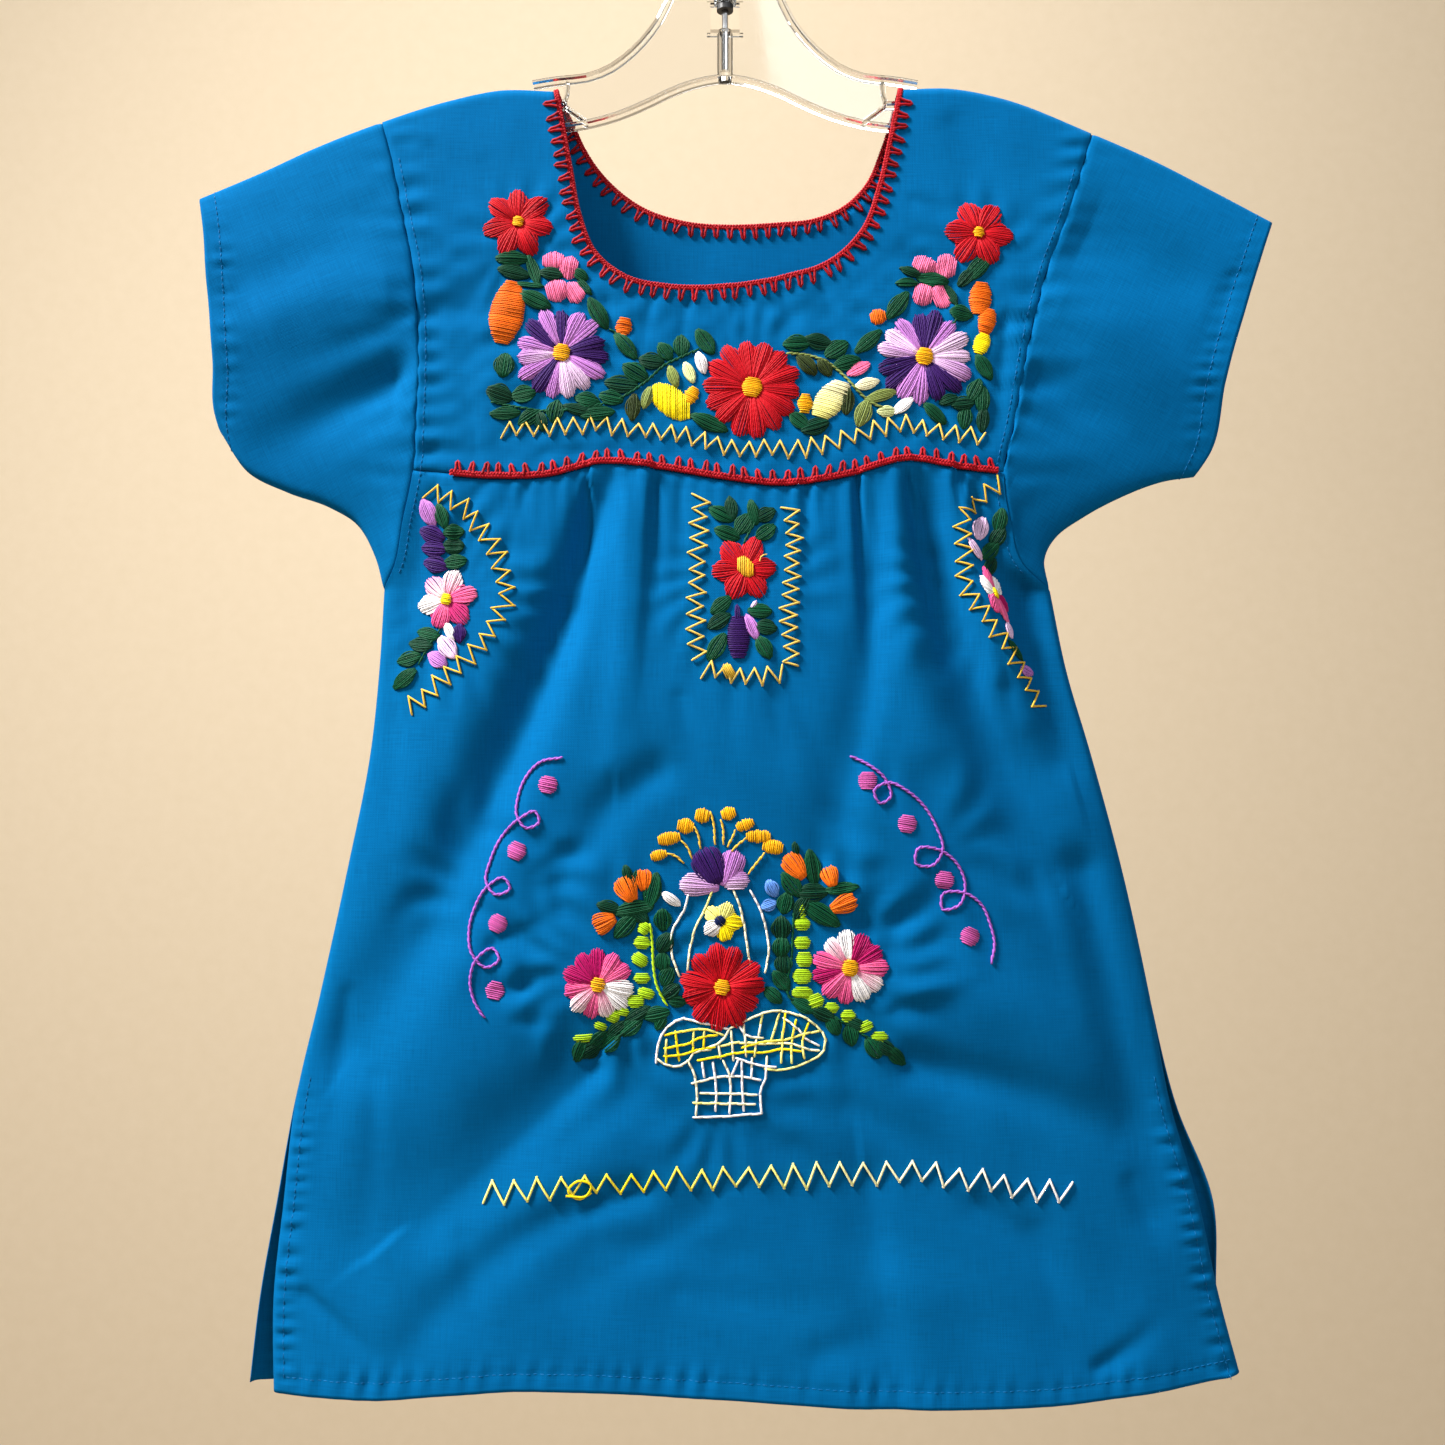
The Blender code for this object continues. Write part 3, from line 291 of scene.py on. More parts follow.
BACK_CREASES = [
    (-58, -345, -60, -400, -70, -452, 3, 7, 1.6, 0.2), (-31, -345, -31, -382, -34, -430, 2.6, 6, 1.2),
    (35, -345, 36, -382, 40, -430, 2.6, 6, 1.4), (64, -345, 68, -390, 80, -440, 3, 7, 1.3),
    (-96, -346, -100, -390, -112, -440, 3, 7, 1.0), (98, -346, 104, -390, 118, -436, 3, 7, 1.0),
    (6, -346, 4, -390, 2, -440, 3, 8, 0.8), (-140, -420, -146, -480, -150, -540, 6, 12, 1.4, 0.2),
    (148, -420, 154, -470, 166, -530, 6, 12, 1.4, -0.2), (-40, -600, -80, -640, -110, -690, 8, 13, 1.6),
    (30, -610, 70, -650, 104, -700, 8, 13, 1.6), (-10, -560, -16, -620, -4, -680, 7, 12, 1.2),
    (-180, -640, -184, -690, -196, -750, 6, 11, 1.4), (186, -630, 196, -690, 206, -750, 6, 11, 1.4),
    (-140, -740, -120, -756, -96, -774, 5, 8, 1.2), (40, -752, 76, -750, 110, -764, 7, 9, 1.2),
]
YOKE_CREASES = [
    (-106, -270, -128, -282, -158, -288, 8, 12, 1.8), (-150, -172, -134, -186, -126, -204, 5, 7, 0.8),
    (118, -160, 132, -182, 156, -196, 8, 12, 1.3), (-160, -262, -135, -256, -108, -256, 7, 8, 2.0),
    (-92, -205, -112, -214, -140, -222, 3, 7, 0.8), (-90, -222, -98, -236, -112, -256, 3, 6, 0.8),
    (-154, -300, -140, -306, -124, -306, 3, 5, 1.0), (-122, -180, -112, -196, -106, -212, 5, 6, 0.6),
    (96, -200, 120, -206, 152, -210, 3, 7, 0.8), (142, -262, 138, -300, 134, -332, 4, 5, 1.6),
    (-60, -254, -56, -268, -54, -284, 2.5, 4, 0.8), (-36, -250, -40, -266, -43, -284, 2.5, 4, 0.9),
    (-18, -250, -22, -268, -24, -290, 2.5, 4, 0.9), (6, -249, 5, -258, 4, -272, 2.5, 4, 0.8),
    (26, -246, 32, -258, 38, -270, 2.5, 4, 0.9), (46, -240, 52, -252, 58, -266, 2.5, 4, 0.8),
    (66, -226, 74, -238, 84, -250, 2.5, 4, 0.8), (-124, -330, -128, -312, -130, -290, 3, 5, 0.7),
    (-150, -330, -120, -334, -90, -332, 4, 5, 0.7), (-90, -332, -40, -330, 10, -338, 3, 4, 0.6),
    (20, -256, 44, -262, 66, -256, 4, 7, 0.6),
]
SLEEVE_CREASES = (
    [
        (-156, -286, -196, -300, -242, -330, 9, 14, 1.8), (-160, -262, -190, -276, -226, -290, 4, 9, 1.4),
        (-158, -306, -178, -318, -206, -336, 4, 7, 1.6), (-166, -200, -196, -206, -236, -214, 6, 10, 1.0),
        (-172, -176, -184, -186, -200, -190, 4, 6, 0.8), (-164, -384, -172, -366, -186, -352, 3, 6, 1.3),
        (-162, -346, -176, -340, -196, -338, 3, 6, 1.2), (-252, -232, -238, -250, -232, -276, 4, 7, 0.9),
        (-214, -346, -222, -330, -240, -318, 4, 7, 1.0),
    ],
    [
        (148, -258, 164, -260, 182, -282, 5, 8, 2.6), (146, -292, 164, -298, 184, -288, 5, 7, 2.0),
        (174, -196, 222, -214, 252, -266, 14, 20, 3.0), (148, -310, 168, -322, 196, -334, 4, 7, 1.4),
        (186, -176, 178, -190, 168, -206, 3, 5, 1.0), (148, -384, 158, -368, 176, -356, 3, 6, 1.3),
        (144, -344, 160, -342, 184, -342, 3, 6, 1.2), (258, -240, 246, -262, 238, -288, 4, 7, 0.9),
    ],
)


def smooth(keys, values, at):
    """Read a smooth curve through the values at the keys."""
    keys, values, at = (np.asarray(part, float) for part in (keys, values, at))
    if keys[0] > keys[-1]:
        keys, values = keys[::-1], values[::-1]
    slopes = np.gradient(values, keys)
    place = np.clip(np.searchsorted(keys, at) - 1, 0, len(keys) - 2)
    width = keys[place + 1] - keys[place]
    u = np.clip((at - keys[place]) / width, 0.0, 1.0)
    rise = values[place + 1] - values[place]
    bend_0 = slopes[place] * width - rise
    bend_1 = rise - slopes[place + 1] * width
    return values[place] + u * rise + u * (1 - u) * ((1 - u) * bend_0 + u * bend_1)


def read_table(table, index, at, first=0):
    """A smooth curve through one column of a table, read at places in its first column."""
    return smooth([row[first] for row in table], [row[index] for row in table], at)


def unit(vectors):
    """Vectors scaled to length one."""
    length = np.linalg.norm(vectors, axis=-1, keepdims=True)
    return vectors / np.maximum(length, 1e-9)


def round_off(distance, radius):
    """Height of a quarter circle of one radius, at a distance in from its edge."""
    u = np.clip(distance / radius, 0.0, 1.0)
    return np.sqrt(1.0 - (1.0 - u) ** 2)


def ease(value):
    """A smooth step from 0 to 1."""
    value = np.clip(value, 0.0, 1.0)
    return value * value * (3 - 2 * value)


def band(distance, middle, width):
    """A soft band of height 1 round a distance."""
    return np.exp(-((distance - middle) / width) ** 2)


def settled(distance, length):
    """A rise from 0 at an edge to nearly 1 a few lengths in."""
    return 1 - np.exp(-distance / length)


def reach_along(points):
    """Length reached at each point of a path."""
    return np.concatenate([[0.0], np.cumsum(np.linalg.norm(np.diff(points, axis=0), axis=1))])


def length_of(path):
    """Length of a path."""
    return np.sum(np.linalg.norm(np.diff(path, axis=0), axis=1))


def read_path(at, reach, values):
    """Points or directions read off a path at lengths along it."""
    return np.stack([np.interp(at, reach, values[:, k]) for k in range(values.shape[1])], axis=-1)


def left_of(direction):
    """Directions in x and z turned a quarter to the left."""
    return np.stack([-direction[:, 1], direction[:, 0]], axis=1)


def blend(first, last, share):
    """A colour between two."""
    return np.asarray(first) * (1 - share) + np.asarray(last) * share


def shoulder_z(x):
    """Height of the shoulder line over the body and both sleeves."""
    left = read_table(SHOULDER, 1, np.minimum(x, SHOULDER[0][0]))
    right = read_table(SHOULDER, 3, np.maximum(x, SHOULDER[0][2]), first=2)
    return np.where(np.asarray(x) < 0, left, right)


def armhole_point(share, side):
    """A point of the armhole seam, in x and z. Side 0 is the left and 1 the right."""
    x = read_table(ARMHOLE, 1 + side, share)
    z = ARMHOLE_TOP[side][1] + np.asarray(share) * (UNDERARM_Z - ARMHOLE_TOP[side][1])
    return x, z


def side_seam_x(z, front, side):
    """A panel's left or right side seam and slit edge at a height."""
    return read_table(SIDES, (1 if front else 3) + side, z)


def edge_x(z, front, side):
    """The panel's left or right edge at a height: the armhole, then the side seam."""
    share = (z - ARMHOLE_TOP[side][1]) / (UNDERARM_Z - ARMHOLE_TOP[side][1])
    arm = read_table(ARMHOLE, 1 + side, np.clip(share, 0, 1))
    return np.where(z > UNDERARM_Z, arm, side_seam_x(z, front, side))


def inside_edges(x, z, front):
    """How far a point lies inside its panel's nearer side edge."""
    return np.minimum(x - edge_x(z, front, 0), edge_x(z, front, 1) - x)


def seam_z(x, front):
    """Height of the yoke seam."""
    if front:
        return read_table(YOKE_SEAM, 1, x)
    return np.interp(x, [YOKE_SEAM[0][0], YOKE_SEAM[-1][0]], [YOKE_SEAM[0][1], YOKE_SEAM[-1][1]])


def fold_depth(x, z, folds, end_fade=FOLD_FADE):
    """How far the folds press the cloth in at a point. A lean makes one side steeper."""
    depth = np.zeros(np.shape(x))
    steps = np.linspace(0.0, 1.0, 25)
    for x0, z0, x1, z1, x2, z2, start_width, end_width, height, *lean in folds:
        along_x = (1 - steps) ** 2 * x0 + 2 * steps * (1 - steps) * x1 + steps ** 2 * x2
        along_z = (1 - steps) ** 2 * z0 + 2 * steps * (1 - steps) * z1 + steps ** 2 * z2
        reach_out = 3.0 * max(start_width, end_width)
        near = ((x > along_x.min() - reach_out) & (x < along_x.max() + reach_out)
                & (z > along_z.min() - reach_out) & (z < along_z.max() + reach_out))
        if not near.any():
            continue
        gap, reach = distance_to_path(x[near], z[near], along_x, along_z)
        width = start_width + (end_width - start_width) * reach
        width = width * (1.0 - np.sign(gap) * (lean[0] if lean else 0.0))
        fade = 1.0 - end_fade * reach ** 2
        depth[near] += height * fade * band(gap, 0.0, width)
    return depth


def distance_to_path(x, z, path_x, path_z):
    """Signed distance from points to a path, and the share of the path at the nearest place."""
    best = np.full(x.shape, 1e9)
    share = np.zeros(x.shape)
    count = len(path_x) - 1
    for k in range(count):
        step_x, step_z = path_x[k + 1] - path_x[k], path_z[k + 1] - path_z[k]
        length = max(step_x ** 2 + step_z ** 2, 1e-9)
        t = np.clip(((x - path_x[k]) * step_x + (z - path_z[k]) * step_z) / length, 0, 1)
        off_x, off_z = x - path_x[k] - t * step_x, z - path_z[k] - t * step_z
        gap = np.hypot(off_x, off_z) * np.where(step_x * off_z - step_z * off_x < 0, -1.0, 1.0)
        closer = np.abs(gap) < np.abs(best)
        best = np.where(closer, gap, best)
        share = np.where(closer, (k + t) / count, share)
    return best, share


def pleat_height(x, z, front):
    """How far the pleats raise the cloth below the yoke seam."""
    height = np.zeros(np.shape(x))
    seam = seam_z(x, front)
    for left, right, rise, length in PLEATS[front]:
        below = np.clip((seam - z) / length, 0.0, 1.0)
        middle = (left + right) / 2 * (1.0 + 0.12 * below)
        across = np.abs(x - middle) / ((right - left) / 2 * (1.0 + 0.5 * below))
        height += rise * (1.0 - below) ** 1.5 * ease((1.06 - across) / 0.13)
    return height


def waves(x, z, seed, size, turn=0.0, spread=math.pi, count=9):
    """Soft random ripples of about one height and length."""
    rng = np.random.default_rng(seed)
    total = np.zeros(np.shape(x))
    for _ in range(count):
        angle = turn + rng.uniform(-spread, spread)
        wave = size[1] * rng.uniform(0.7, 1.5)
        phase = rng.uniform(0, 2 * math.pi)
        total += np.sin((x * math.cos(angle) + z * math.sin(angle)) * 2 * math.pi / wave + phase)
    return size[0] * total / math.sqrt(count)


def body_depth(x, z, front):
    """How far the body's cloth stands from the middle plane, before its folds."""
    below = np.maximum(shoulder_z(x) - z, 0.0)
    left, right = (np.hypot(x - underarm_x, z - UNDERARM_Z) for underarm_x in UNDERARM_X)
    inside = np.where(z < UNDERARM_Z, inside_edges(x, z, front), np.minimum(left, right))
    inside = np.maximum(inside, 0.0)
    rim = FOLD_RADIUS + (EDGE_RADIUS - FOLD_RADIUS) * np.exp(-inside / SETTLE)
    rounding = rim * round_off(below, FOLD_RADIUS) * round_off(inside, EDGE_RADIUS)
    bulge = read_table(BULGE, 1 if front else 2, z)
    return rounding + bulge * settled(below, SETTLE) * settled(inside, SETTLE)


def hem_ends(front):
    """The hem's left and right ends, in x."""
    return SIDES[-1][1:3] if front else SIDES[-1][3:5]


def hem_height(share, front):
    """Height of the hem's edge at a share of its width from the left."""
    left_z, right_z = HEM_CORNERS[front]
    return left_z + share * (right_z - left_z) - read_table(HEM[front], 1, share)


def hem_line(x, front):
    """Height of the hem's edge at a place across the panel."""
    left_x, right_x = hem_ends(front)
    return hem_height(np.clip((x - left_x) / (right_x - left_x), 0, 1), front)


def pucker_height(x, z, table):
    """Small puckers that spread from places where close stitches draw the cloth in."""
    height = np.zeros(np.shape(x))
    drift = waves(x, z, SEED + 15, PUCKER_DRIFT)
    for k, (middle_x, middle_z, radius, count, rise) in enumerate(table):
        reach = np.hypot(x - middle_x, z - middle_z) / radius
        around = np.arctan2(z - middle_z, x - middle_x)
        height += rise * band(reach, 1.0, 0.34) * np.sin(count * around + 1.9 * k + 1.6 * drift)
    return height


def skirt_depth(x, z, front):
    """How far a skirt panel stands out, with its pleats, folds, creases and puckers."""
    inside = np.maximum(inside_edges(x, z, front), 0.0)
    below = np.maximum(seam_z(x, front) - z, 0.0)
    calm = 1 - band(inside, 0.0, EDGE_CALM)
    free = 1 - SEAM_HOLD * band(below, 0.0, SEAM_HOLD_LENGTH)
    folds, creases = (FRONT_FOLDS, FRONT_CREASES) if front else (BACK_FOLDS, BACK_CREASES)
    depth = body_depth(x, z, front)
    depth -= fold_depth(x, z, folds) * calm * free
    depth -= fold_depth(x, z, creases, CREASE_FADE) * calm
    depth += pleat_height(x, z, front) * calm
    if front:
        depth += pucker_height(x, z, SKIRT_PUCKERS) * calm
    depth += waves(x, z, SEED + 1, SKIRT_RIPPLE, 0.2, 0.9) * calm * free
    gathers = np.exp(-below / GATHER_LENGTH) * waves(x, z * 0.12, SEED + 2, SEAM_GATHERS, 0.0, 0.25, 6)
    depth += gathers * calm * settled(below, 2.0)
    rise = z - hem_line(x, front)
    hem_pucker = band(rise, HEM_STITCH, 6.0) * waves(x, z * 0.3, SEED + 3, HEM_PUCKER, 0.0, 0.35, 7)
    depth += hem_pucker * calm
    depth -= HEM_GROOVE[0] * band(rise, HEM_STITCH, HEM_GROOVE[1]) * calm
    side_pucker = band(inside, SLIT_STITCH + 0.5, 5.0) * ease((SLIT_STITCH_TOP_Z - z) / 20.0)
    depth += side_pucker * waves(x * 0.3, z, SEED + 4, SLIT_PUCKER, math.pi / 2, 0.35, 6)
    part = SLIT_PART * np.clip((SLIT_TOP_Z - z) / (SLIT_TOP_Z - HEM_CORNERS[front][0]), 0.0, 1.0)
    return np.maximum(depth, SEAM_GAP / 2) + part * np.exp(-inside / 30.0)


def yoke_depth(x, z, front):
    """How far a yoke stands out, with its soft creases and puckers."""
    inside = inside_edges(x, z, front)
    below = np.maximum(shoulder_z(x) - z, 0.0)
    calm = ease(below / 16.0) * (1 - 0.5 * np.exp(-np.maximum(inside, 0.0) / 4.0))
    depth = body_depth(x, z, front)
    depth -= fold_depth(x, z, YOKE_FOLDS) * calm
    if front:
        depth -= fold_depth(x, z, YOKE_CREASES, CREASE_FADE) * calm
        work = ease((-z - 196.0) / 40.0)
        depth += work * waves(x, z, SEED + 5, STITCHED_RIPPLE) * calm
        depth += pucker_height(x, z, YOKE_PUCKERS) * calm
    depth += waves(x, z, SEED + 6, YOKE_RIPPLE) * calm
    pucker = waves(x * 0.25, z, SEED + 7, ARMHOLE_PUCKER, math.pi / 2, 0.3, 6)
    depth += band(inside, ARMHOLE_STITCH + 1.0, 9.0) * pucker * calm
    return depth


def cloth_depth(x, z, front=True):
    """How far the finished front or back stands out at a point of the yoke or the skirt."""
    return np.where(z > seam_z(x, front), yoke_depth(x, z, front), skirt_depth(x, z, front))


def chord_share(one, other):
    """Mean share of the length reached at each point of two matching edges."""
    one, other = reach_along(one), reach_along(other)
    return (one / one[-1] + other / other[-1]) / 2


def coons(top, bottom, left, right):
    """Fill a grid between four edges, each a list of points from left to right or top down."""
    down = chord_share(left, right)[:, None, None]
    across = chord_share(top, bottom)[None, :, None]
    ruled = (1 - down) * top[None] + down * bottom[None]
    ruled = ruled + (1 - across) * left[:, None] + across * right[:, None]
    corners = ((1 - down) * ((1 - across) * top[0] + across * top[-1])
               + down * ((1 - across) * bottom[0] + across * bottom[-1]))
    return ruled - corners


def spread(points, count):
    """Points evenly spaced on a smooth curve through the given ones."""
    points = np.asarray(points, float)
    reach = reach_along(points)
    at = np.linspace(0.0, reach[-1], count)
    return np.stack([smooth(reach, points[:, k], at) for k in range(points.shape[1])], axis=1)


def neck_at(shares, front):
    """The neck edge in x and z at shares of its length, left to right."""
    first = 0 if front else 2
    even = spread([(row[first], row[first + 1]) for row in NECK], NECK_STEPS + 1)
    return read_path(np.asarray(shares) * NECK_STEPS, np.arange(NECK_STEPS + 1), even)


def graded(count, edge_share, edge_count):
    """Shares from 0 to 1 whose steps are fine at both ends."""
    edge = edge_share * (np.arange(edge_count) / edge_count) ** 1.5
    inner = np.linspace(edge_share, 1 - edge_share, count - 2 * edge_count)
    return np.concatenate([edge, inner, 1 - edge[::-1]])


def surface_normals(grid, ring=False):
    """Unit normals of a grid of points."""
    if ring:
        across = np.roll(grid, -1, axis=1) - np.roll(grid, 1, axis=1)
    else:
        across = np.gradient(grid, axis=1)
    return unit(np.cross(across, np.gradient(grid, axis=0)))


def body_of(mesh_name, points, faces, material, smooth_shade=True):
    """An object from points in millimetres and faces."""
    mesh = bpy.data.meshes.new(mesh_name)
    mesh.vertices.add(len(points))
    mesh.vertices.foreach_set("co", (np.asarray(points, np.float32) * MM).ravel())
    faces = np.asarray(faces, np.int32)
    mesh.loops.add(faces.size)
    mesh.loops.foreach_set("vertex_index", faces.ravel())
    mesh.polygons.add(len(faces))
    mesh.polygons.foreach_set("loop_start", np.arange(len(faces), dtype=np.int32) * faces.shape[1])
    mesh.update(calc_edges=True)
    mesh.materials.append(material)
    if smooth_shade:
        mesh.shade_smooth()
    result = bpy.data.objects.new(mesh_name, mesh)
    bpy.context.scene.collection.objects.link(result)
    return result


def rim_faces(one, two, count, flip):
    """Faces that close a shell along an edge, from its outer points to its inner ones."""
    quad = [one, one + count, two + count, two]
    return np.stack(quad[::-1] if flip else quad, axis=-1)


def shell(name, outer, inward, material, ring=False, turn=0.0):
    """A closed thin shell between a grid of outer points and the same points moved inwards."""
    inner = outer + inward * CLOTH
    rows, columns = outer.shape[:2]
    count = rows * columns
    points = np.concatenate([outer.reshape(-1, 3), inner.reshape(-1, 3)])
    spans = columns if ring else columns - 1
    row, col = np.meshgrid(np.arange(rows - 1), np.arange(spans), indexing="ij")
    nxt = (col + 1) % columns
    a, b = row * columns + col, row * columns + nxt
    c, d = (row + 1) * columns + nxt, (row + 1) * columns + col
    outside = np.stack([a, b, c, d], axis=-1).reshape(-1, 4)
    inside = np.stack([a, d, c, b], axis=-1).reshape(-1, 4) + count
    col, row = np.arange(spans), np.arange(rows - 1)
    nxt = (col + 1) % columns
    rims = [rim_faces(line * columns + col, line * columns + nxt, count, flip)
            for line, flip in ((0, False), (rows - 1, True))]
    if not ring:
        rims += [rim_faces(row * columns + line, (row + 1) * columns + line, count, flip)
                 for line, flip in ((0, True), (columns - 1, False))]
    faces = np.concatenate([outside, inside, *rims])
    middle_face = outside[len(outside) // 2]
    p, q, r = (points[middle_face[k]] for k in (0, 1, 2))
    if np.dot(np.cross(q - p, r - p), inward.reshape(-1, 3)[middle_face[0]]) > 0:
        faces = faces[:, ::-1]
    result = body_of(name, points, faces, material)
    weave_coordinates(result, turn)
    return result


def weave_coordinates(piece, turn):
    """A UV map in metres along the cloth's two thread directions."""
    mesh = piece.data
    count = len(mesh.loops)
    index = np.empty(count, np.int32)
    mesh.loops.foreach_get("vertex_index", index)
    co = np.empty(len(mesh.vertices) * 3, np.float32)
    mesh.vertices.foreach_get("co", co)
    co = co.reshape(-1, 3)[index]
    uv = np.stack([co[:, 0] * math.cos(turn) + co[:, 2] * math.sin(turn),
                   -co[:, 0] * math.sin(turn) + co[:, 2] * math.cos(turn)], axis=1)
    layer = mesh.uv_layers.new(name="weave")
    layer.data.foreach_set("uv", uv.astype(np.float32).ravel())


def inward_normals(grid, front):
    """Normals that point to the garment's inside."""
    normals = surface_normals(grid)
    wanted = 1.0 if front else -1.0
    return normals * np.where(np.sum(normals[..., 1]) * wanted < 0, -1.0, 1.0)


def roll_edge(grid, inward, row, depth=0.9, reach=1.6):
    """Turn the cloth in at a sewn edge, where the seam allowance pulls it under."""
    gap = np.linalg.norm(grid - grid[row], axis=-1)
    grid += inward * (depth * band(gap, 0.0, reach))[..., None]


def yoke_shell(name, front, material, arm_columns, seam_columns, rows):
    """A yoke's cloth, from the neck edge out to the armholes and the yoke seam."""
    arm = YOKE_CORNER * (np.linspace(0.0, 1.0, arm_columns) ** 1.5)
    left = np.stack(armhole_point(arm, 0), axis=1)
    right = np.stack(armhole_point(arm[::-1], 1), axis=1)
    seam_x = np.linspace(left[-1, 0], right[0, 0], seam_columns)[1:-1]
    rim = np.concatenate([left, np.stack([seam_x, seam_z(seam_x, front)], axis=1), right])
    side = NECK_SIDE * (np.linspace(0.0, 1.0, arm_columns) ** 1.5)
    middle = np.linspace(NECK_SIDE, 1 - NECK_SIDE, seam_columns)[1:-1]
    neck = neck_at(np.concatenate([side, middle, 1 - side[::-1]]), front)
    down = 1 - (1 - np.linspace(0.0, 1.0, rows)) ** 1.15
    shoulders = []
    for end in (0, -1):
        x = neck[end, 0] + down * (rim[end, 0] - neck[end, 0])
        shoulders.append(np.stack([x, shoulder_z(x)], axis=1))
    flat = coons(neck, rim, *shoulders)
    depth = yoke_depth(flat[..., 0], flat[..., 1], front)
    depth[:, 0] = depth[:, -1] = SEAM_GAP / 2
    grid = np.stack([flat[..., 0], depth * (-1 if front else 1), flat[..., 1]], axis=-1)
    inward = inward_normals(grid, front)
    inward[:, 0] = inward[:, -1] = (0.0, 0.0, -1.0)
    calm = ease(np.minimum(np.arange(grid.shape[1]), np.arange(grid.shape[1])[::-1]) / 12.0)
    rolled = grid.copy()
    roll_edge(rolled, inward, -1)
    grid = grid + (rolled - grid) * calm[None, :, None]
    grid[-1, :arm_columns, 0] += SEAM_GAP / 2
    grid[-1, -arm_columns:, 0] -= SEAM_GAP / 2
    grid[-1, arm_columns:-arm_columns, 2] += SEAM_GAP / 2
    return shell(name, grid, inward, material)


def skirt_shell(name, front, material, columns, side_rows):
    """A skirt panel's cloth, from the yoke seam and the armholes down to the hem."""
    arm = YOKE_CORNER + (1 - YOKE_CORNER) * (1 - (1 - np.linspace(0.0, 1.0, 26)) ** 1.3)
    shares = graded(columns, 0.02, 9)
    drop = np.linspace(0.0, 1.0, side_rows)[1:]
    drop = drop + 0.055 * np.sin(math.pi * drop) * drop
    edges = []
    for side in (0, 1):
        arm_x, arm_z = armhole_point(arm, side)
        z = UNDERARM_Z + drop * (HEM_CORNERS[front][side] - UNDERARM_Z)
        x = np.concatenate([arm_x, side_seam_x(z, front, side)])
        edges.append(np.stack([x, np.concatenate([arm_z, z])], axis=1))
    left, right = edges
    top_x = left[0, 0] + shares * (right[0, 0] - left[0, 0])
    top = np.stack([top_x, seam_z(top_x, front)], axis=1)
    hem_x = left[-1, 0] + shares * (right[-1, 0] - left[-1, 0])
    flat = coons(top, np.stack([hem_x, hem_height(shares, front)], axis=1), left, right)
    depth = skirt_depth(flat[..., 0], flat[..., 1], front)
    grid = np.stack([flat[..., 0], depth * (-1 if front else 1), flat[..., 1]], axis=-1)
    inward = inward_normals(grid, front)
    inward[len(arm):, 0] = (1.0, 0.0, 0.0)
    inward[len(arm):, -1] = (-1.0, 0.0, 0.0)
    roll_edge(grid, inward, 0, reach=1.8)
    grid[:len(arm), 0, 0] += SEAM_GAP / 2
    grid[:len(arm), -1, 0] -= SEAM_GAP / 2
    grid[0, :, 2] -= SEAM_GAP / 2
    return shell(name, grid, inward, material)


def sleeve_shell(name, side, material, arm_columns, rows):
    """A sleeve's cloth, open at the armhole and the cuff, and the line of its cuff stitches."""
    stations = np.concatenate([
        0.5 * (np.linspace(0.0, 1.0, arm_columns // 2) ** 1.4),
        1 - 0.5 * (np.linspace(1.0, 0.0, arm_columns // 2) ** 1.4)[1:],
    ])
    arm = np.stack(armhole_point(stations, side), axis=1)
    down = np.linspace(0.0, 1.0, rows)
    first = 2 * side
    start_x, start_z = ARMHOLE_TOP[side]
    tip_x, tip_z = SHOULDER[-1][first:first + 2]
    top_x = start_x + down * (tip_x - start_x)
    top = np.stack([top_x, shoulder_z(top_x)], axis=1)
    under = np.stack([read_table(UNDERSIDE, 1 + first + k, down) for k in (0, 1)], axis=1)
    cuff = np.stack([read_table(CUFF, 1 + first + k, stations) for k in (0, 1)], axis=1)
    flat = coons(arm, cuff, top, under)
    x, z = flat[..., 0], flat[..., 1]
    halves = []
    for front in (True, False):
        depth = sleeve_depth(x, z, side, front, stations, down, arm, cuff)
        halves.append(np.stack([x, depth * (-1 if front else 1), z], axis=-1))
    grid = np.concatenate([halves[0], halves[1][:, -2:0:-1]], axis=1)
    inward = surface_normals(grid, ring=True)
    if np.sum(inward * (grid.mean(axis=1, keepdims=True) - grid)) < 0:
        inward = -inward
    roll_edge(grid, inward, 0, depth=0.8)
    grid[0, :, 0] += SEAM_GAP / 2 * (-1 if side == 0 else 1)
    row = int(round((1 - CUFF_STITCH / SLEEVE_LENGTH) * (rows - 1)))
    lean = math.atan2(tip_z - start_z, tip_x - start_x)
    return shell(name, grid, inward, material, ring=True, turn=lean), (grid[row], -inward[row])


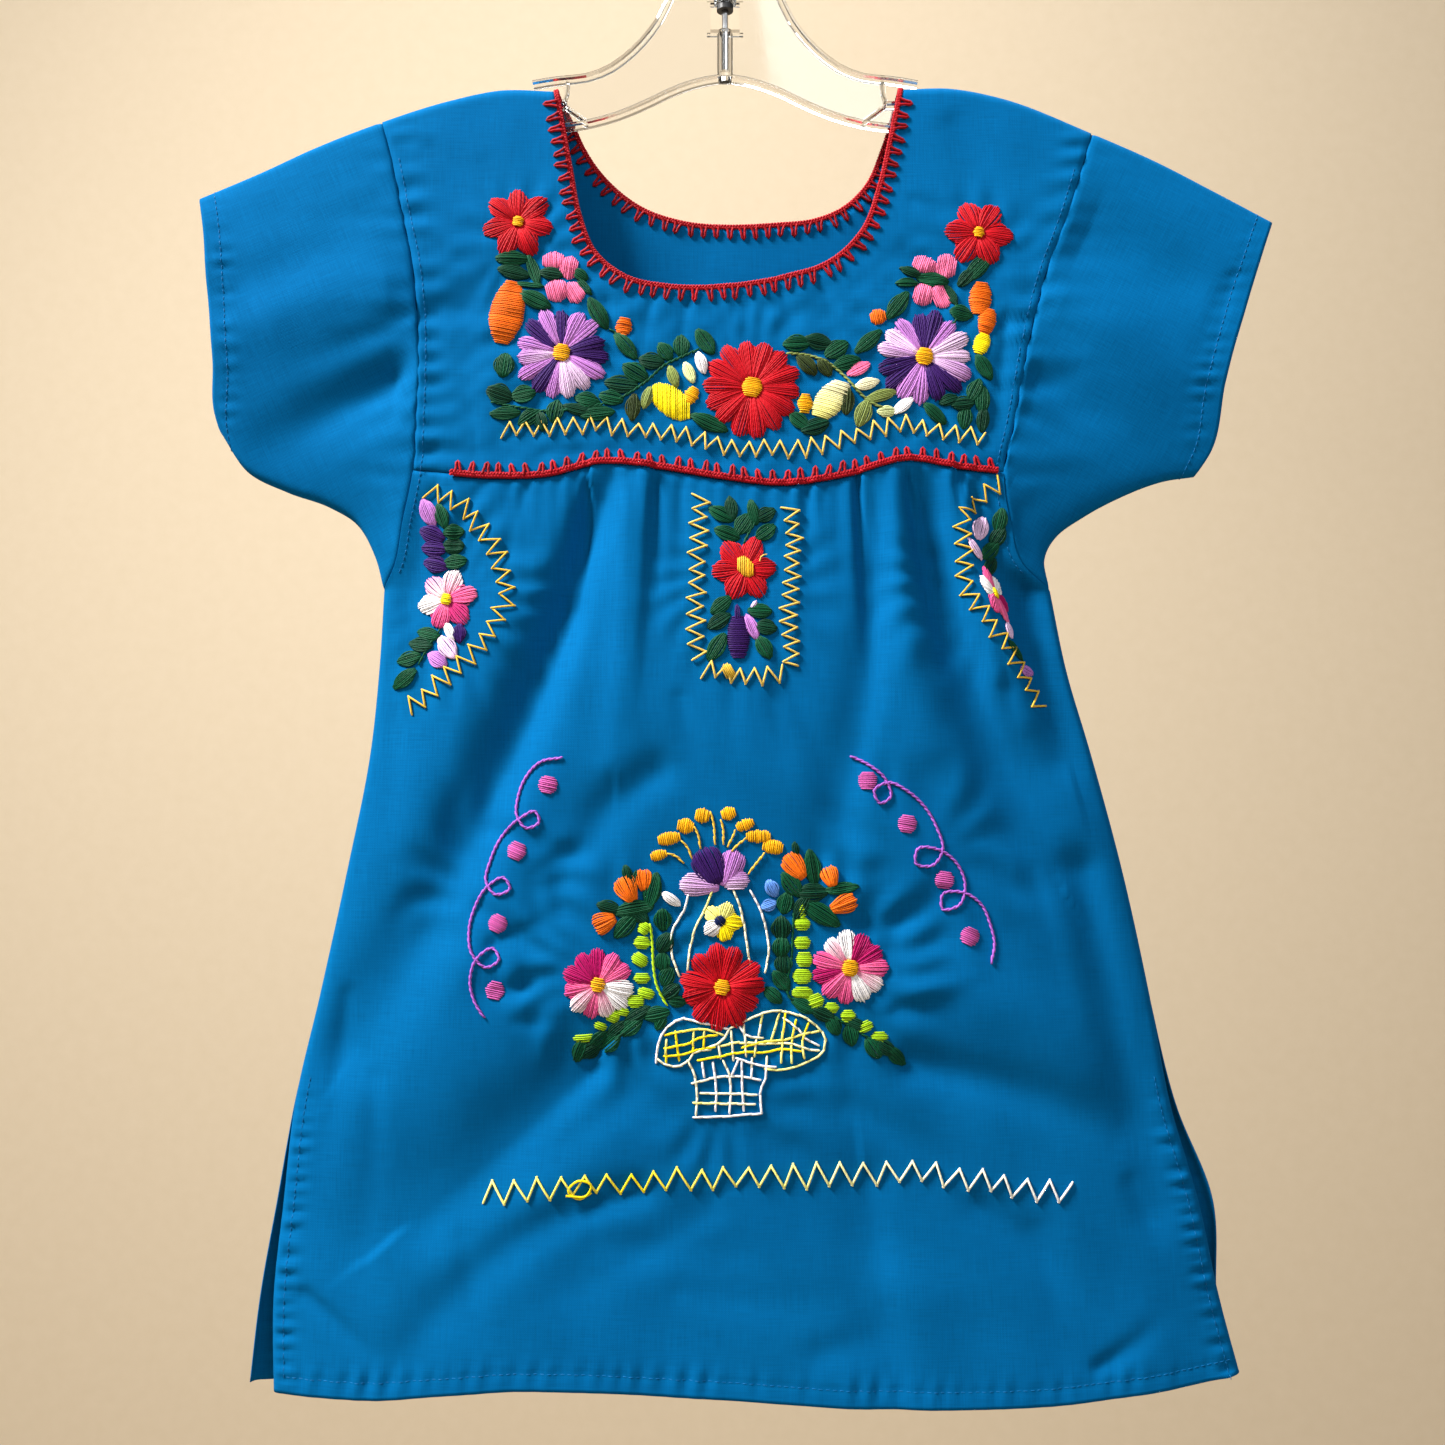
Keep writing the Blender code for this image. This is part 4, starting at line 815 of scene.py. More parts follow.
def sleeve_depth(x, z, side, front, stations, down, arm, cuff):
    """How far a sleeve's half stands out, with its folds, creases and puckers."""
    at_arm = body_depth(arm[:, 0], arm[:, 1], front)
    from_top = stations * (ARMHOLE_TOP[0][1] - UNDERARM_Z)
    from_under = (1 - stations) * np.linalg.norm(cuff[-1] - cuff[0])
    profile = round_off(from_top * 0.55, CUFF_EDGE_RADIUS) * round_off(from_under, CUFF_EDGE_RADIUS)
    full = CUFF_DEPTH[0 if front else 1] - CUFF_EDGE_RADIUS
    hollow = full * settled(from_top, 30.0) * settled(from_under, 30.0)
    at_cuff = CUFF_EDGE_RADIUS * profile + hollow
    depth = (1 - down[:, None]) * at_arm[None] + down[:, None] * at_cuff[None]
    calm = np.sin(math.pi * stations)[None] ** 0.7 * np.minimum(1.0, down[:, None] * 6.0)
    depth = depth - fold_depth(x, z, SLEEVE_FOLDS[side]) * calm * (1.0 if front else 0.7)
    depth -= fold_depth(x, z, SLEEVE_CREASES[side], CREASE_FADE) * calm
    depth += waves(x, z, SEED + 8 + side, SLEEVE_RIPPLE) * calm
    from_arm = down[:, None] * SLEEVE_LENGTH
    head = np.exp(-from_arm / 13.0) * settled(from_arm, 2.5) * np.sin(math.pi * stations)[None]
    depth += head * waves(x * 0.2, z, SEED + 10, SLEEVE_HEAD_PUCKER, math.pi / 2, 0.3, 6)
    from_cuff = (1 - down[:, None]) * SLEEVE_LENGTH
    pucker = waves(x * 0.3, z, SEED + 11, CUFF_PUCKER, math.pi / 2, 0.3, 6)
    depth += band(from_cuff, CUFF_STITCH, 5.0) * pucker * calm
    depth -= CUFF_GROOVE[0] * band(from_cuff, CUFF_STITCH, CUFF_GROOVE[1]) * calm
    depth[:, 0] = depth[:, -1] = 0.0
    return np.maximum(depth, 0.0)


def node_group(name, inputs, outputs):
    """An empty shader node group with named sockets."""
    group = bpy.data.node_groups.new(name, "ShaderNodeTree")
    for label, kind, value in inputs:
        socket = group.interface.new_socket(name=label, in_out="INPUT", socket_type=kind)
        if value is not None:
            socket.default_value = value
    for label, kind in outputs:
        group.interface.new_socket(name=label, in_out="OUTPUT", socket_type=kind)
    return group, group.nodes.new("NodeGroupInput"), group.nodes.new("NodeGroupOutput")


def math_node(tree, operation, first, second=None, third=None):
    """A math node fed by sockets or numbers."""
    node = tree.nodes.new("ShaderNodeMath")
    node.operation = operation
    for index, value in enumerate((first, second, third)):
        if value is None:
            continue
        if isinstance(value, (int, float)):
            node.inputs[index].default_value = value
        else:
            tree.links.new(value, node.inputs[index])
    return node.outputs[0]


def set_values(node, values):
    """Set a node's own values by the names of its sockets."""
    for label, value in values.items():
        node.inputs[label].default_value = value


def noise_node(tree, vector, scale, detail=3.0, stretch=(1.0, 1.0, 1.0)):
    """A noise texture on stretched coordinates."""
    mapping = tree.nodes.new("ShaderNodeMapping")
    set_values(mapping, {"Scale": stretch})
    tree.links.new(vector, mapping.inputs["Vector"])
    noise = tree.nodes.new("ShaderNodeTexNoise")
    set_values(noise, {"Scale": scale, "Detail": detail})
    tree.links.new(mapping.outputs["Vector"], noise.inputs["Vector"])
    return noise.outputs["Fac"]


def plain_weave_group():
    """Over-and-under threads with slubs: a height for bump and a shade for colour."""
    group, enter, leave = node_group(
        "plain_weave",
        [("Cloth", "NodeSocketVector", None), ("Threads", "NodeSocketFloat", 2200.0),
         ("Slub", "NodeSocketFloat", 0.5)],
        [("Height", "NodeSocketFloat"), ("Shade", "NodeSocketFloat")])
    split = group.nodes.new("ShaderNodeSeparateXYZ")
    group.links.new(enter.outputs["Cloth"], split.inputs[0])
    turns = math_node(group, "MULTIPLY", enter.outputs["Threads"], math.pi)
    warp = math_node(group, "SINE", math_node(group, "MULTIPLY", split.outputs[0], turns))
    weft = math_node(group, "SINE", math_node(group, "MULTIPLY", split.outputs[1], turns))
    cross = math_node(group, "MULTIPLY", warp, weft)
    along = noise_node(group, enter.outputs["Cloth"], 1.0, 4.0, (70.0, 1500.0, 1.0))
    up = noise_node(group, enter.outputs["Cloth"], 1.0, 4.0, (1500.0, 60.0, 1.0))
    slubs = math_node(group, "ADD", along, up)
    slubs = math_node(group, "MULTIPLY", math_node(group, "SUBTRACT", slubs, 1.0), enter.outputs["Slub"])
    height = math_node(group, "MULTIPLY_ADD", cross, 0.35, slubs)
    shade = math_node(group, "MULTIPLY_ADD", slubs, 0.8, 1.0)
    group.links.new(height, leave.inputs["Height"])
    group.links.new(shade, leave.inputs["Shade"])
    return group


def new_material(name):
    """A material with its node tree and Principled shader, and the place on the object."""
    material = bpy.data.materials.new(name)
    material.use_nodes = True
    tree = material.node_tree
    place = tree.nodes.new("ShaderNodeTexCoord").outputs["Object"]
    return material, tree, tree.nodes["Principled BSDF"], place


def two_tones(tree, factor, one, other):
    """A colour that drifts between two tones."""
    tones = tree.nodes.new("ShaderNodeMix")
    tones.data_type = "RGBA"
    set_values(tones, {"A": (*one, 1.0), "B": (*other, 1.0)})
    tree.links.new(factor, tones.inputs["Factor"])
    return tones.outputs["Result"]


def dress_shader(tree, shader, color, relief, strength, distance):
    """Shade a colour by a relief group's shade, and raise its height as a bump."""
    shaded = tree.nodes.new("ShaderNodeVectorMath")
    shaded.operation = "SCALE"
    tree.links.new(color, shaded.inputs[0])
    tree.links.new(relief.outputs["Shade"], shaded.inputs["Scale"])
    tree.links.new(shaded.outputs["Vector"], shader.inputs["Base Color"])
    bump = tree.nodes.new("ShaderNodeBump")
    set_values(bump, {"Strength": strength, "Distance": distance})
    tree.links.new(relief.outputs["Height"], bump.inputs["Height"])
    tree.links.new(bump.outputs["Normal"], shader.inputs["Normal"])


def cloth_material(weave):
    """Turquoise cotton blend: matt, with slubs, a soft sheen and slight fading."""
    material, tree, shader, place = new_material("turquoise_cotton")
    uv = tree.nodes.new("ShaderNodeUVMap")
    uv.uv_map = "weave"
    cloth = tree.nodes.new("ShaderNodeGroup")
    cloth.node_tree = weave
    set_values(cloth, {"Threads": 2300.0, "Slub": 0.55})
    tree.links.new(uv.outputs["UV"], cloth.inputs["Cloth"])
    fading = noise_node(tree, place, 9.0, 3.0)
    blue = two_tones(tree, fading, (0.0003, 0.089, 0.252), (0.0006, 0.108, 0.288))
    dress_shader(tree, shader, blue, cloth, 0.35, 0.00025)
    set_values(shader, {"Roughness": 0.85, "Specular IOR Level": 0.02, "Sheen Weight": 0.05,
                        "Sheen Roughness": 0.45, "Sheen Tint": (0.02, 0.50, 1.0, 1.0)})
    return material


def twisted_thread_group():
    """Two-ply twist and fine fibres of a thread: a height for bump, and a shade for colour that paints the
    ply grooves darker as painted shade.
    """
    group, enter, leave = node_group(
        "twisted_thread",
        [("Turn", "NodeSocketVector", None), ("Along", "NodeSocketFloat", 0.0),
         ("Place", "NodeSocketVector", None), ("Twist", "NodeSocketFloat", 2.4),
         ("Ply", "NodeSocketFloat", 0.5), ("Fibre", "NodeSocketFloat", 0.5)],
        [("Height", "NodeSocketFloat"), ("Shade", "NodeSocketFloat")])
    split = group.nodes.new("ShaderNodeSeparateXYZ")
    group.links.new(enter.outputs["Turn"], split.inputs[0])
    cosine, sine = split.outputs[0], split.outputs[1]
    double_cosine = math_node(group, "SUBTRACT", math_node(group, "MULTIPLY", cosine, cosine),
                              math_node(group, "MULTIPLY", sine, sine))
    double_sine = math_node(group, "MULTIPLY", math_node(group, "MULTIPLY", cosine, sine), 2.0)
    angle = math_node(group, "MULTIPLY", enter.outputs["Along"], enter.outputs["Twist"])
    lay = math_node(group, "ADD",
                    math_node(group, "MULTIPLY", double_cosine, math_node(group, "COSINE", angle)),
                    math_node(group, "MULTIPLY", double_sine, math_node(group, "SINE", angle)))
    fibres = noise_node(group, enter.outputs["Place"], 5200.0, 3.0)
    height = math_node(group, "ADD", math_node(group, "MULTIPLY", lay, enter.outputs["Ply"]),
                       math_node(group, "MULTIPLY", fibres, enter.outputs["Fibre"]))
    # The ply grooves are painted darker and the ridges lighter: painted shade; the fibre noise varies the
    # tone at random.
    shade = math_node(group, "MULTIPLY_ADD", lay, 0.10,
                      math_node(group, "MULTIPLY_ADD", fibres, 0.55, 0.70))
    group.links.new(height, leave.inputs["Height"])
    group.links.new(shade, leave.inputs["Shade"])
    return group


def own_attribute(tree, name, kind):
    """An attribute of the piece."""
    attribute = tree.nodes.new("ShaderNodeAttribute")
    attribute.attribute_name = name
    return attribute.outputs[kind]


def thread_material(name, twisted, twist, ply, fibre, distance):
    """Stranded thread in the colour of its own attribute."""
    material, tree, shader, place = new_material(name)
    thread = tree.nodes.new("ShaderNodeGroup")
    thread.node_tree = twisted
    set_values(thread, {"Twist": twist, "Ply": ply, "Fibre": fibre})
    tree.links.new(own_attribute(tree, "turn", "Vector"), thread.inputs["Turn"])
    tree.links.new(own_attribute(tree, "along", "Fac"), thread.inputs["Along"])
    tree.links.new(place, thread.inputs["Place"])
    # The floss colour is scaled by the twist's shade, which holds painted shade in the ply grooves and random
    # fibre tone.
    dress_shader(tree, shader, own_attribute(tree, "floss", "Color"), thread, 0.6, distance)
    set_values(shader, {"Roughness": 0.60, "Specular IOR Level": 0.16, "Sheen Weight": 0.03,
                        "Sheen Roughness": 0.35})
    return material


def clear_material():
    """Clear moulded plastic with faint handling marks."""
    material, tree, shader, place = new_material("clear_polystyrene")
    marks = noise_node(tree, place, 60.0, 6.0, (1.0, 1.0, 3.0))
    tree.links.new(math_node(tree, "MULTIPLY", marks, 0.10), shader.inputs["Roughness"])
    set_values(shader, {"Base Color": (0.965, 0.975, 0.975, 1.0), "Transmission Weight": 1.0, "IOR": 1.5})
    return material


def steel_material():
    """Bright plated wire with fine drawing marks and dull spots."""
    material, tree, shader, place = new_material("plated_steel")
    drawn = noise_node(tree, place, 900.0, 4.0, (1.0, 1.0, 0.06))
    dull = noise_node(tree, place, 120.0, 5.0)
    rough = math_node(tree, "ADD", math_node(tree, "MULTIPLY", drawn, 0.16),
                      math_node(tree, "MULTIPLY", dull, 0.14))
    tree.links.new(rough, shader.inputs["Roughness"])
    grey = two_tones(tree, dull, (0.56, 0.57, 0.59), (0.78, 0.79, 0.80))
    tree.links.new(grey, shader.inputs["Base Color"])
    set_values(shader, {"Metallic": 1.0})
    return material


def washer_material():
    """Black satin washer."""
    material, tree, shader, place = new_material("black_washer")
    grain = noise_node(tree, place, 700.0, 4.0)
    tree.links.new(math_node(tree, "MULTIPLY_ADD", grain, 0.25, 0.35), shader.inputs["Roughness"])
    black = two_tones(tree, grain, (0.010, 0.010, 0.011), (0.028, 0.028, 0.030))
    tree.links.new(black, shader.inputs["Base Color"])
    return material


def dress_nodes(materials):
    """Give the CAD nodes that stay their own finish."""
    for node, material in materials.items():
        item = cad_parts[node]
        item = bpy.data.objects[item] if isinstance(item, str) else item
        for slot in item.material_slots:
            slot.material = material


def daylight(red, green, blue):
    """A colour seen on a screen, as light."""
    return np.array([value / 255.0 / 12.92 if value < 11 else ((value / 255.0 + 0.055) / 1.055) ** 2.4
                     for value in (red, green, blue)])


# Thread colours, as seen in daylight
YARN_RED = daylight(152, 3, 18)
YARN_CHERRY = daylight(160, 5, 22)
RED = daylight(178, 2, 20)
CHERRY = daylight(190, 6, 26)
GREEN = daylight(0, 70, 42)
DEEP_GREEN = daylight(0, 56, 36)
OLIVE = daylight(122, 136, 70)
DARK_OLIVE = daylight(44, 58, 22)
LIME = daylight(164, 204, 24)
PALE_LIME = daylight(212, 220, 158)
GOLD = daylight(238, 172, 14)
HONEY = daylight(216, 176, 58)
STRAW = daylight(220, 186, 88)
YELLOW = daylight(250, 226, 12)
PALE_YELLOW = daylight(242, 236, 134)
CREAM = daylight(238, 232, 196)
WHITE = daylight(240, 236, 238)
ORANGE = daylight(232, 108, 14)
PURPLE = daylight(52, 18, 92)
LAVENDER = daylight(184, 120, 196)
PALE_LAVENDER = daylight(224, 192, 226)
PINK = daylight(240, 116, 160)
ROSE_PINK = daylight(220, 66, 136)
MAGENTA = daylight(168, 10, 90)
ORCHID = daylight(158, 88, 184)
MALLOW = daylight(196, 88, 162)
PALE_BLUE = daylight(92, 140, 214)
NAVY = daylight(14, 30, 78)
CLOTH_BLUE = daylight(3, 96, 152)

rng = np.random.default_rng(SEED)


class Threads:
    """Threads gathered for one piece: points in x, z and height over the cloth."""

    def __init__(self):
        self.points, self.radii, self.colors, self.along, self.edges = [], [], [], [], []
        self.count = 0
        self.squeeze = None

    def add(self, points, radius, first, last=None, taper=0.0):
        """One thread through the points, coloured from the first colour to the last."""
        points = np.asarray(points, float)
        if self.squeeze is not None:
            points = self.pressed(points)
        share = np.linspace(0.0, 1.0, len(points))[:, None]
        color = blend(first, first if last is None else last, share)
        dye_lot = 1.0 + rng.uniform(-0.10, 0.10)
        radii = np.full(len(points), radius)
        radii[0] *= 1 - taper
        radii[-1] *= 1 - taper
        self.points.append(points)
        self.radii.append(radii)
        self.colors.append(color * dye_lot)
        self.along.append(reach_along(points) + rng.uniform(0, 6))
        first_index = self.count + np.arange(len(points) - 1)
        self.edges.append(np.stack([first_index, first_index + 1], axis=1))
        self.count += len(points)

    def pressed(self, points):
        """Points drawn together across a line, as where a fold hides part of a motif."""
        x, z, angle, share = self.squeeze
        cosine, sine = math.cos(math.radians(angle)), math.sin(math.radians(angle))
        across = ((points[:, 1] - z) * cosine - (points[:, 0] - x) * sine) * (1 - share)
        return points + np.stack([sine * across, -cosine * across, 0 * across], axis=1)

    def finish(self, name, surface, tubes, material, sides):
        """All threads as tubes, laid on a surface given as depth from x and z."""
        points = np.concatenate(self.points)
        if surface is not None:
            points = np.stack([points[:, 0], -(surface(points[:, 0], points[:, 1]) + points[:, 2]),
                               points[:, 1]], axis=1)
        mesh = bpy.data.meshes.new(name)
        mesh.from_pydata((points * MM).tolist(), np.concatenate(self.edges).tolist(), [])
        for label, kind, values in (("radius", "FLOAT", np.concatenate(self.radii) * MM),
                                    ("along", "FLOAT", np.concatenate(self.along))):
            mesh.attributes.new(label, kind, "POINT").data.foreach_set("value", values.astype(np.float32))
        colors = np.concatenate(self.colors)
        colors = np.concatenate([colors, np.ones((len(colors), 1))], axis=1)
        layer = mesh.attributes.new("floss", "FLOAT_COLOR", "POINT")
        layer.data.foreach_set("color", colors.astype(np.float32).ravel())
        guide = bpy.data.objects.new(name + "_guide", mesh)
        bpy.context.scene.collection.objects.link(guide)
        modifier = guide.modifiers.new("tubes", "NODES")
        modifier.node_group = tubes
        sockets = {item.name: item.identifier for item in tubes.interface.items_tree}
        modifier[sockets["Sides"]] = sides
        modifier[sockets["Finish"]] = material
        bpy.context.view_layer.update()
        shaped = guide.evaluated_get(bpy.context.evaluated_depsgraph_get())
        finished = bpy.data.meshes.new_from_object(shaped)
        finished.name = name
        bpy.data.objects.remove(guide, do_unlink=True)
        finished.shade_smooth()
        piece = bpy.data.objects.new(name, finished)
        bpy.context.scene.collection.objects.link(piece)
        return piece


def tube_tree():
    """Geometry nodes that give every guide line a round section of its own radius."""
    tree = bpy.data.node_groups.new("thread_tubes", "GeometryNodeTree")
    for label, way, kind in (("Guides", "INPUT", "Geometry"), ("Sides", "INPUT", "Int"),
                             ("Finish", "INPUT", "Material"), ("Threads", "OUTPUT", "Geometry")):
        tree.interface.new_socket(name=label, in_out=way, socket_type="NodeSocket" + kind)
    enter, leave = tree.nodes.new("NodeGroupInput"), tree.nodes.new("NodeGroupOutput")
    lines = tree.nodes.new("GeometryNodeMeshToCurve")
    circle = tree.nodes.new("GeometryNodeCurvePrimitiveCircle")
    set_values(circle, {"Radius": 1.0})
    place = tree.nodes.new("GeometryNodeInputPosition")
    marked = tree.nodes.new("GeometryNodeStoreNamedAttribute")
    marked.data_type = "FLOAT_VECTOR"
    marked.domain = "POINT"
    set_values(marked, {"Name": "turn"})
    radius = tree.nodes.new("GeometryNodeInputNamedAttribute")
    radius.data_type = "FLOAT"
    set_values(radius, {"Name": "radius"})
    sweep = tree.nodes.new("GeometryNodeCurveToMesh")
    set_values(sweep, {"Fill Caps": True})
    whole = tree.nodes.new("GeometryNodeRealizeInstances")
    painted = tree.nodes.new("GeometryNodeSetMaterial")
    links = [
        (enter, "Guides", lines, "Mesh"), (enter, "Sides", circle, "Resolution"),
        (circle, "Curve", marked, "Geometry"), (place, "Position", marked, "Value"),
        (lines, "Curve", sweep, "Curve"), (marked, "Geometry", sweep, "Profile Curve"),
        (radius, "Attribute", sweep, "Scale"), (sweep, "Mesh", whole, "Geometry"),
        (whole, "Geometry", painted, "Geometry"), (enter, "Finish", painted, "Material"),
        (painted, "Geometry", leave, "Threads"),
    ]
    for one, output, other, entry in links:
        tree.links.new(one.outputs[output], other.inputs[entry])
    return tree


# Threads: distance and radius of satin strands, sides of a tube, places along a petal or a block
STRAND = 0.90
STRAND_RADIUS = 0.45
FLOSS_SIDES = 5
YARN_SIDES = 6
SATIN_STEPS = np.array([0.0, 0.06, 0.20, 0.40, 0.62, 0.82, 0.94, 1.0])
BLOCK_STEPS = np.array([0.0, 0.09, 0.28, 0.5, 0.72, 0.91, 1.0])


def turned(x, z, angle, along, across):
    """Local along and across lengths at a point, turned to an angle in degrees."""
    cosine, sine = math.cos(math.radians(angle)), math.sin(math.radians(angle))
    return x + along * cosine - across * sine, z + along * sine + across * cosine


def tone():
    """A slight change of shade from one strand to the next."""
    return rng.uniform(0.80, 1.14)


def lay_strand(threads, x, z, angle, along, across, height, first, last, taper=0.35):
    """One satin strand, from its places along and across a motif and its height over the cloth."""
    px, pz = turned(x, z, angle, along, across)
    threads.add(np.stack([px, pz, np.maximum(height, 0.05)], axis=1), STRAND_RADIUS, first, last, taper)


def petal(threads, x, z, angle, start, length, width, inner, outer, dome=1.3, lift=0.0, base=0.36, tip=0.17):
    """A satin petal: strands fan out from a narrow foot to a broad tip, blunt or round."""
    count = max(4, int(round(width / STRAND)))
    s = SATIN_STEPS
    for k in range(count):
        t = -1 + 2 * (k + 0.5) / count + rng.uniform(-0.05, 0.05)
        reach = length * (1 - tip * abs(t) ** 2.6) + rng.uniform(-0.7, 0.4)
        half = width / 2 * (base + (1 - base) * np.sin(np.minimum(s / 0.85, 1.0) * math.pi / 2) ** 1.1)
        across = t * half * (1 - 0.10 * s ** 8)
        height = (lift + rng.uniform(-0.05, 0.35)
                  + dome * np.sin(math.pi * s ** 0.85) ** 0.5 * math.sqrt(1 - 0.85 * min(t * t, 1.0)))
        lay_strand(threads, x, z, angle, start + s * reach, across, height, inner * tone(), outer * tone())


def flower(threads, x, z, radius, petals, colors, turn=90.0, centre=GOLD, lift=0.0, hub=0.2, fill=1.0):
    """Satin petals round a small centre, clockwise from an angle; the colours follow each other."""
    for k in range(petals):
        inner, outer = colors[k % len(colors)]
        angle = turn - 360.0 * k / petals + rng.uniform(-3, 3)
        reach = radius * rng.uniform(0.95, 1.06)
        start = radius * hub * 0.6
        share = 0.88 if petals > 9 else 0.69
        width = 2 * math.pi * radius * share / petals * fill * rng.uniform(0.95, 1.06)
        petal(threads, x, z, angle, start, reach - start, width, inner, outer,
              1.0 + radius * 0.03, lift + 0.2 * (k % 2), tip=0.18 if petals > 9 else 0.36)
    if centre is not None:
        size = radius * hub * 1.8
        block(threads, x, z, 80, size, size, centre, centre, 1.7 + lift, 1.1)


def leaf(threads, x, z, angle, length, width, color, dome=1.1, lift=0.0):
    """A satin leaf: an oval of strands laid lengthways."""
    count = max(3, int(round(width / STRAND)))
    s = SATIN_STEPS
    for k in range(count):
        t = -1 + 2 * (k + 0.5) / count + rng.uniform(-0.05, 0.05)
        run = length * math.sqrt(1 - 0.72 * min(t * t, 1.0)) + rng.uniform(-0.5, 0.5)
        across = t * width / 2 * (1 - 0.42 * (2 * s - 1) ** 2)
        height = (lift + rng.uniform(-0.05, 0.3)
                  + dome * np.sin(math.pi * s) ** 0.5 * math.sqrt(1 - 0.80 * min(t * t, 1.0)))
        shade = color * tone()
        lay_strand(threads, x, z, angle, (s - 0.5) * run, across, height, shade, shade)


def block(threads, x, z, angle, length, width, first, last, lift=0.0, dome=1.2, shape=0.5, slant=0.0):
    """Strands side by side: each runs across, and they follow each other along, drifting by the slant."""
    count = max(3, int(round(length / STRAND)))
    s = BLOCK_STEPS
    for k in range(count):
        t = (k + 0.5) / count
        half = width / 2 * math.sin(math.pi * (0.08 + 0.84 * t)) ** shape + rng.uniform(-0.3, 0.3)
        across = (s * 2 - 1) * half + slant * (t - 0.5) * length
        along = np.full(len(s), (t - 0.5) * length) + rng.uniform(-0.1, 0.1)
        height = (lift + rng.uniform(-0.05, 0.3)
                  + dome * np.sin(math.pi * s) ** 0.5 * math.sin(math.pi * t) ** 0.35)
        shade = blend(first, last, t) * tone()
        lay_strand(threads, x, z, angle, along, across, height, shade, shade, 0.3)


def leaves(threads, table):
    """Leaves from a table: x, z, angle, length, width, colour."""
    for x, z, angle, length, width, color in table:
        leaf(threads, x, z, angle + rng.uniform(-5, 5), length, width, color, lift=rng.uniform(0.0, 0.25))


def blocks(threads, table):
    """Small satin fruits and buds from a table: x, z, angle, length, width, colour."""
    for x, z, angle, length, width, color in table:
        block(threads, x, z, angle, length, width, color, color)


def raised(flat, height):
    """Points in x and z with their heights over the cloth."""
    return np.concatenate([flat, height[:, None]], axis=1)


def stem(threads, path, color, radius=0.5, pitch=3.0):
    """Stem stitch: short stitches that overlap side by side along a path."""
    path = np.asarray(path, float)
    length = length_of(path)
    line = spread(path, max(6, int(length / 0.75)))
    count = max(2, int(length / pitch))
    side = left_of(unit(np.gradient(line, axis=0)))
    offset = np.array([-0.35, -0.3, -0.1, 0.1, 0.3, 0.35])
    height = np.array([0.05, 0.45, 0.6, 0.6, 0.45, 0.05]) + radius * 0.5
    for k in range(count):
        s = np.clip(np.linspace(k - 0.28, k + 1.22, 6) / count, 0, 1) * (len(line) - 1)
        at = read_path(s, np.arange(len(line)), line)
        nearest = np.clip(np.round(s).astype(int), 0, len(line) - 1)
        at = at + side[nearest] * offset[:, None] * radius * 1.6
        threads.add(raised(at, height), radius, color, taper=0.25)


def zigzag(threads, path, half, pitch, colors, radius=0.52):
    """Zigzag stitches along a path, each leg a thread of its own."""
    path = np.asarray(path, float)
    length = length_of(path)
    count = int(round(length / pitch * 2))
    line = spread(path, count + 1)
    side = left_of(unit(np.gradient(line, axis=0)))
    sway = rng.uniform(0.78, 1.18, count + 1) * half
    corners = line + side * (sway * np.where(np.arange(count + 1) % 2, 1, -1))[:, None]
    corners += rng.uniform(-0.6, 0.6, corners.shape)
    s = np.array([-0.05, 0.05, 0.3, 0.7, 0.95, 1.05])[:, None]
    for k in range(count):
        at = corners[k] * (1 - s) + corners[k + 1] * s
        height = np.array([0.15, 0.65, 0.9, 0.9, 0.65, 0.15]) + (0.4 if k % 2 else 0.0)
        share = k / count * (len(colors) - 1)
        low = int(share)
        dye = blend(colors[low], colors[min(low + 1, len(colors) - 1)], share - low)
        threads.add(raised(at, height), radius, dye, taper=0.2)


def backstitch(threads, path, first, last, pitch, radius):
    """Single stitches that overlap a little, end to end along a path."""
    path = np.asarray(path, float)
    length = length_of(path)
    count = max(1, int(round(length / pitch)))
    line = spread(path, count + 1) if len(path) > 2 else np.linspace(path[0], path[-1], count + 1)
    s = np.array([-0.08, 0.08, 0.5, 0.92, 1.08])[:, None]
    for k in range(count):
        at = line[k] * (1 - s) + line[k + 1] * s + rng.uniform(-0.2, 0.2, 2)
        height = np.array([0.1, 0.55, 0.75, 0.55, 0.1]) + (0.2 if k % 2 else 0.0)
        dye = blend(first, last, k / max(count - 1, 1))
        threads.add(raised(at, height), radius, dye, taper=0.25)


REDS = [(RED, CHERRY), (CHERRY, RED)]
DEEP, SOFT, PALE = (PURPLE, PURPLE), (LAVENDER, LAVENDER), (PALE_LAVENDER, PALE_LAVENDER)
LEFT_PANSY = [DEEP, SOFT, SOFT, DEEP, DEEP, SOFT, PALE, PALE, SOFT, DEEP, SOFT, (PALE_LAVENDER, LAVENDER),
              SOFT, DEEP, SOFT]
RIGHT_PANSY = [DEEP, DEEP, SOFT, PALE, PALE, (PALE_LAVENDER, LAVENDER), DEEP, DEEP, SOFT, SOFT, DEEP, DEEP,
               (LAVENDER, PALE_LAVENDER), PALE, SOFT]
ROSE, BLUSH, TIPPED, SNOW = (MAGENTA, MAGENTA), (PINK, ROSE_PINK), (ROSE_PINK, WHITE), (WHITE, WHITE)
LEFT_ASTER = [ROSE, BLUSH, BLUSH, SNOW, SNOW, TIPPED, BLUSH, TIPPED, BLUSH, ROSE, ROSE]
RIGHT_ASTER = [SNOW, ROSE, ROSE, BLUSH, TIPPED, SNOW, BLUSH, BLUSH, ROSE, BLUSH, TIPPED]

